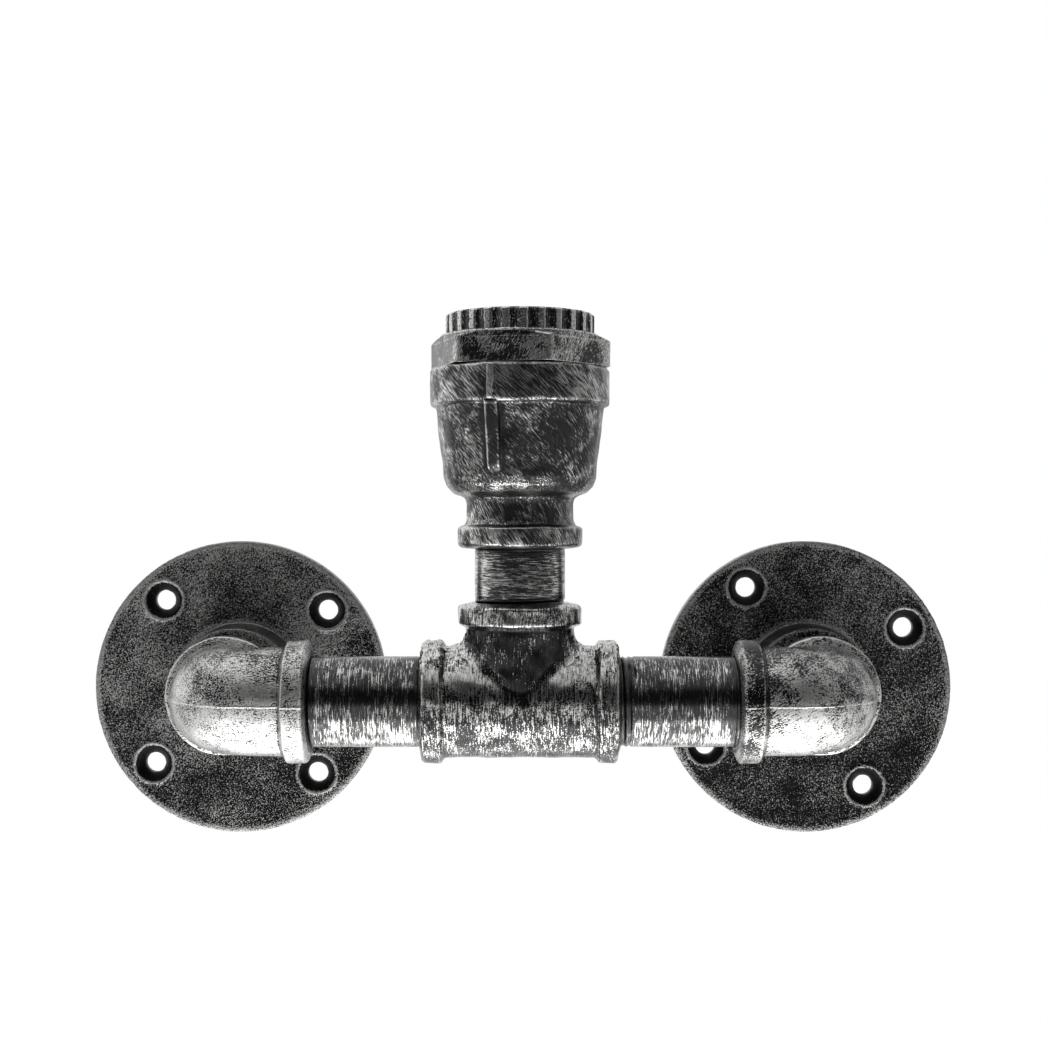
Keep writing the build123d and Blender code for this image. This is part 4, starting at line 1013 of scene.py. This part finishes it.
class MakeScrewShell(bpy.types.Operator):
    """Make the lampholder's rolled screw shell, with its tab down to the neutral terminal"""

    bl_idname = "pipe_light.make_screw_shell"
    bl_label = "Screw shell"

    def execute(self, context):
        low, high = span("screw_shell", 2)
        depth_in_insert = 22.0 * MM
        foot = span("holder_insert", 2)[1] - depth_in_insert
        bore, depth, wall, fade_length = 13.27 * MM, 0.8 * MM, 0.3 * MM, 1.2 * MM
        angles = even_angles(144)
        rows = np.linspace(foot, high, 120)[:, None]
        wave = 0.5 - 0.5 * np.cos(2 * np.pi * rows / sizes().screw_pitch - angles)
        fade = (1 - rising(rows, high - fade_length, fade_length)) * rising(rows, foot, fade_length)
        inner = bore - depth * wave * fade
        distance = np.vstack([rows, rows[::-1]])
        outline = np.vstack([inner, (inner + wall)[::-1]]), distance, 0 * distance
        sleeve = closed_shell(turned(outline, (LAMP_X, RUN_Y, 0), UPWARDS, (1, 0, 0), angles))
        half_width, inset, overlap = 2 * MM, 0.01 * MM, 1 * MM
        tab = np.array([
            (LAMP_X + x, RUN_Y + y, z)
            for z in (low, foot + overlap)
            for y in (-half_width, half_width)
            for x in (bore + inset, bore + inset + wall)
        ])
        sides = np.array([(0, 1, 3, 2), (4, 6, 7, 5), (0, 4, 5, 1), (1, 5, 7, 3), (3, 7, 6, 2), (2, 6, 4, 0)])
        shells = [sleeve, (tab, outward(tab, sides), np.zeros(len(tab)))]
        finish = plated("Rolled brass screw shell", colours().brass, 0.25, (3.0, 3.0, 0.2))
        add_piece("rolled_screw_shell", shells, LAMP_HEAD, "screw_shell", finish)
        return {"FINISHED"}


class MakeContactSpring(bpy.types.Operator):
    """Make the wound spring under the centre contact"""

    bl_idname = "pipe_light.make_contact_spring"
    bl_label = "Contact spring"

    def execute(self, context):
        low, high = span("contact_spring", 2)
        wire, coil, turns, dead_share = 0.4 * MM, 2.35 * MM, 3.5, 0.12
        along = np.linspace(0, 1, 200)
        around = even_angles(14)[None, :, None]
        swing = 2 * np.pi * turns * along
        rise = low + wire + (high - low - 2 * wire) * rising(along, dead_share, 1 - 2 * dead_share)
        outward_way = np.stack([np.cos(swing), np.sin(swing), 0 * swing], axis=1)
        middle = (LAMP_X, RUN_Y, 0) + coil * outward_way + np.outer(rise, UPWARDS)
        # The wire keeps its thickness almost to its ends, where it closes to a point
        thickness = wire * np.sqrt(np.clip(1 - np.abs(2 * along - 1) ** 80, 0, 1))[:, None, None]
        section = np.cos(around) * outward_way[:, None] + np.sin(around) * np.array(UPWARDS)
        points = middle[:, None] + thickness * section
        shells = [open_shell((points, np.zeros(points.shape[:2])))]
        finish = plated("Drawn spring steel", colours().zinc, 0.28, (0.3, 0.3, 0.3))
        name, node = "wound_contact_spring", "contact_spring"
        spring = add_piece(name, shells, None, node, finish, weld=True)
        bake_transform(spring)
        return {"FINISHED"}


class DressLampholder(bpy.types.Operator):
    """Finish the lampholder's sleeve, insert, cap, contacts, terminals and fasteners"""

    bl_idname = "pipe_light.dress_lampholder"
    bl_label = "Lampholder"

    def execute(self, context):
        tint = colours()
        dress(["holder_skirt"], plated("Zinc-plated steel sleeve", tint.zinc, 0.34, (0.6, 0.6, 0.18)))
        dress(["holder_cap"], plated("Zinc-plated pressed steel cap", tint.zinc, 0.38, (0.5, 0.5, 0.5)))
        dress(["holder_insert"], glazed_porcelain("Glazed porcelain", tint.porcelain))
        brass = plated("Turned brass", tint.brass, 0.27, (0.9, 0.9, 0.15))
        dress(["contact_plunger", "live_strip", "live_terminal", "neutral_terminal", "earth_lug"], brass)
        steel = plated("Zinc-plated screw steel", tint.zinc, 0.3, (0.4, 0.4, 0.4))
        dress(["contact_clip", "terminal_screws", "cap_screws", "earth_screw", "earth_nut"], steel)
        dress(["cap_bush"], moulded_nylon("Moulded nylon bush", tint.bush))
        return {"FINISHED"}


# ---- Stage ----


def place_camera(scene):
    """A camera level with the riser, at the photograph's distance and lens."""
    camera = bpy.data.cameras.new("photo_camera")
    camera.lens, camera.sensor_width, camera.shift_y = 56.34, 36.0, 0.0019
    camera.clip_start, camera.clip_end = 0.02, 20.0
    scene.camera = new_object("photo_camera", camera)
    scene.camera.location = (0.0003, -0.5347, 0.0519)
    scene.camera.rotation_euler = (math.pi / 2, 0, 0)


def lay_floor(height=-0.36, reach=4.0):
    """A wide floor of white paper, which also glows where the camera or a reflection sees it."""
    mesh = bpy.data.meshes.new("floor")
    square = [(x, y, height) for x, y in ((-reach, -reach), (reach, -reach), (reach, reach), (-reach, reach))]
    mesh.from_pydata(square, [], [(0, 1, 2, 3)])
    new_object("floor", mesh)
    paper = new_material("White paper floor")
    matt = add_node(paper, "ShaderNodeBsdfPrincipled", {"Base Color": linear("#e6e6e6"), "Roughness": 0.9})
    rays = add_node(paper, "ShaderNodeLightPath").node.outputs
    seen = rays["Is Camera Ray"]
    for kind in ("Is Glossy Ray", "Is Transmission Ray"):
        seen = add_node(paper, "ShaderNodeMath", {0: seen, 1: rays[kind]}, operation="MAXIMUM")
    share = add_node(paper, "ShaderNodeMath", {0: seen, 1: 0.72}, operation="MULTIPLY")
    glow = add_node(paper, "ShaderNodeEmission", {"Color": (1, 1, 1, 1), "Strength": 1.25})
    mixed = add_node(paper, "ShaderNodeMixShader", {0: share, 1: matt, 2: glow})
    add_node(paper, "ShaderNodeOutputMaterial", {"Surface": mixed})
    mesh.materials.append(paper)


def surround(scene):
    """White surroundings for the camera, with less light on surfaces and a graded reflection.

    In reflections the white darkens from the wall's side towards the viewer's, and a little
    towards +X, so that the front of the pipes shows dark between bright edges."""
    world = bpy.data.worlds.new("white_surroundings")
    scene.world = world
    world.use_nodes = True
    world.node_tree.nodes.clear()
    rays = add_node(world, "ShaderNodeLightPath").node.outputs
    direct = {0: rays["Is Camera Ray"], 1: rays["Is Transmission Ray"]}
    seen = add_node(world, "ShaderNodeMath", direct, operation="MAXIMUM")
    way = add_node(world, "ShaderNodeTexCoord", take="Generated")
    x, y, _ = add_node(world, "ShaderNodeSeparateXYZ", {0: way}).node.outputs
    depth = {"Value": y, "From Min": -0.95, "From Max": 0.45, "To Min": 0.05, "To Max": 1.0}
    shine = add_node(world, "ShaderNodeMapRange", depth, interpolation_type="SMOOTHSTEP")
    sideways = add_node(world, "ShaderNodeMath", {0: x, 1: -0.35, 2: 1.0}, operation="MULTIPLY_ADD")
    shine = add_node(world, "ShaderNodeMath", {0: shine, 1: sideways}, operation="MULTIPLY")
    unseen = {"Factor": rays["Is Glossy Ray"], "A": 0.45, "B": shine}
    dull = add_node(world, "ShaderNodeMix", unseen, data_type="FLOAT")
    level = add_node(world, "ShaderNodeMix", {"Factor": seen, "A": dull, "B": 1.0}, data_type="FLOAT")
    sky = add_node(world, "ShaderNodeBackground", {"Color": (1, 1, 1, 1), "Strength": level})
    add_node(world, "ShaderNodeOutputWorld", {"Surface": sky})


def softbox(name, place, aim, width, height, power):
    """A large even lamp that points at aim and isn't seen itself."""
    lamp = bpy.data.lights.new(name, "AREA")
    lamp.shape, lamp.size, lamp.size_y, lamp.energy = "RECTANGLE", width, height, power
    holder = new_object(name, lamp)
    holder.location = place
    holder.rotation_euler = Vector(np.subtract(aim, place)).to_track_quat("-Z", "Y").to_euler()
    holder.visible_camera = False


class MakeStage(bpy.types.Operator):
    """Set the camera, the pale floor, the white surroundings and the soft lamps"""

    bl_idname = "pipe_light.make_stage"
    bl_label = "Stage"

    def execute(self, context):
        scene = context.scene
        scene.view_settings.view_transform = "Standard"
        place_camera(scene)
        lay_floor()
        surround(scene)
        softbox("overhead_softbox", (-0.2, -0.3, 1.2), (0, -0.04, 0.03), 2.0, 1.4, 3.6)
        softbox("table_light", (0, -0.12, -0.34), (0, -0.12, 0.0), 0.9, 0.56, 4.2)
        return {"FINISHED"}


OPERATORS = (
    MakeStage, MakeFlanges, MakePipes, MakeElbows, MakeTee, MakeReducer, MakeBushing, MakeShadeRing,
    MakeScrewShell, MakeContactSpring, DressLampholder,
)


class PipeLightPanel(bpy.types.Panel):
    """The light's sizes, colours and pieces"""

    bl_idname = "VIEW3D_PT_pipe_light"
    bl_label = "Pipe Light"
    bl_space_type = "VIEW_3D"
    bl_region_type = "UI"
    bl_category = "Pipe Light"

    def draw(self, context):
        for group in (context.scene.pipe_light_sizes, context.scene.pipe_light_colours):
            box = self.layout.box()
            for name in group.__annotations__:
                box.prop(group, name)
        for operator in OPERATORS:
            self.layout.operator(operator.bl_idname)


CLASSES = (PipeLightSizes, PipeLightColours, *OPERATORS, PipeLightPanel)


def register():
    for entry in CLASSES:
        bpy.utils.register_class(entry)
    bpy.types.Scene.pipe_light_sizes = bpy.props.PointerProperty(type=PipeLightSizes)
    bpy.types.Scene.pipe_light_colours = bpy.props.PointerProperty(type=PipeLightColours)


def unregister():
    del bpy.types.Scene.pipe_light_colours
    del bpy.types.Scene.pipe_light_sizes
    for entry in reversed(CLASSES):
        bpy.utils.unregister_class(entry)


def main():
    register()
    for operator in OPERATORS:
        category, name = operator.bl_idname.split(".")
        getattr(getattr(bpy.ops, category), name)()


if __name__ == "__main__":
    main()
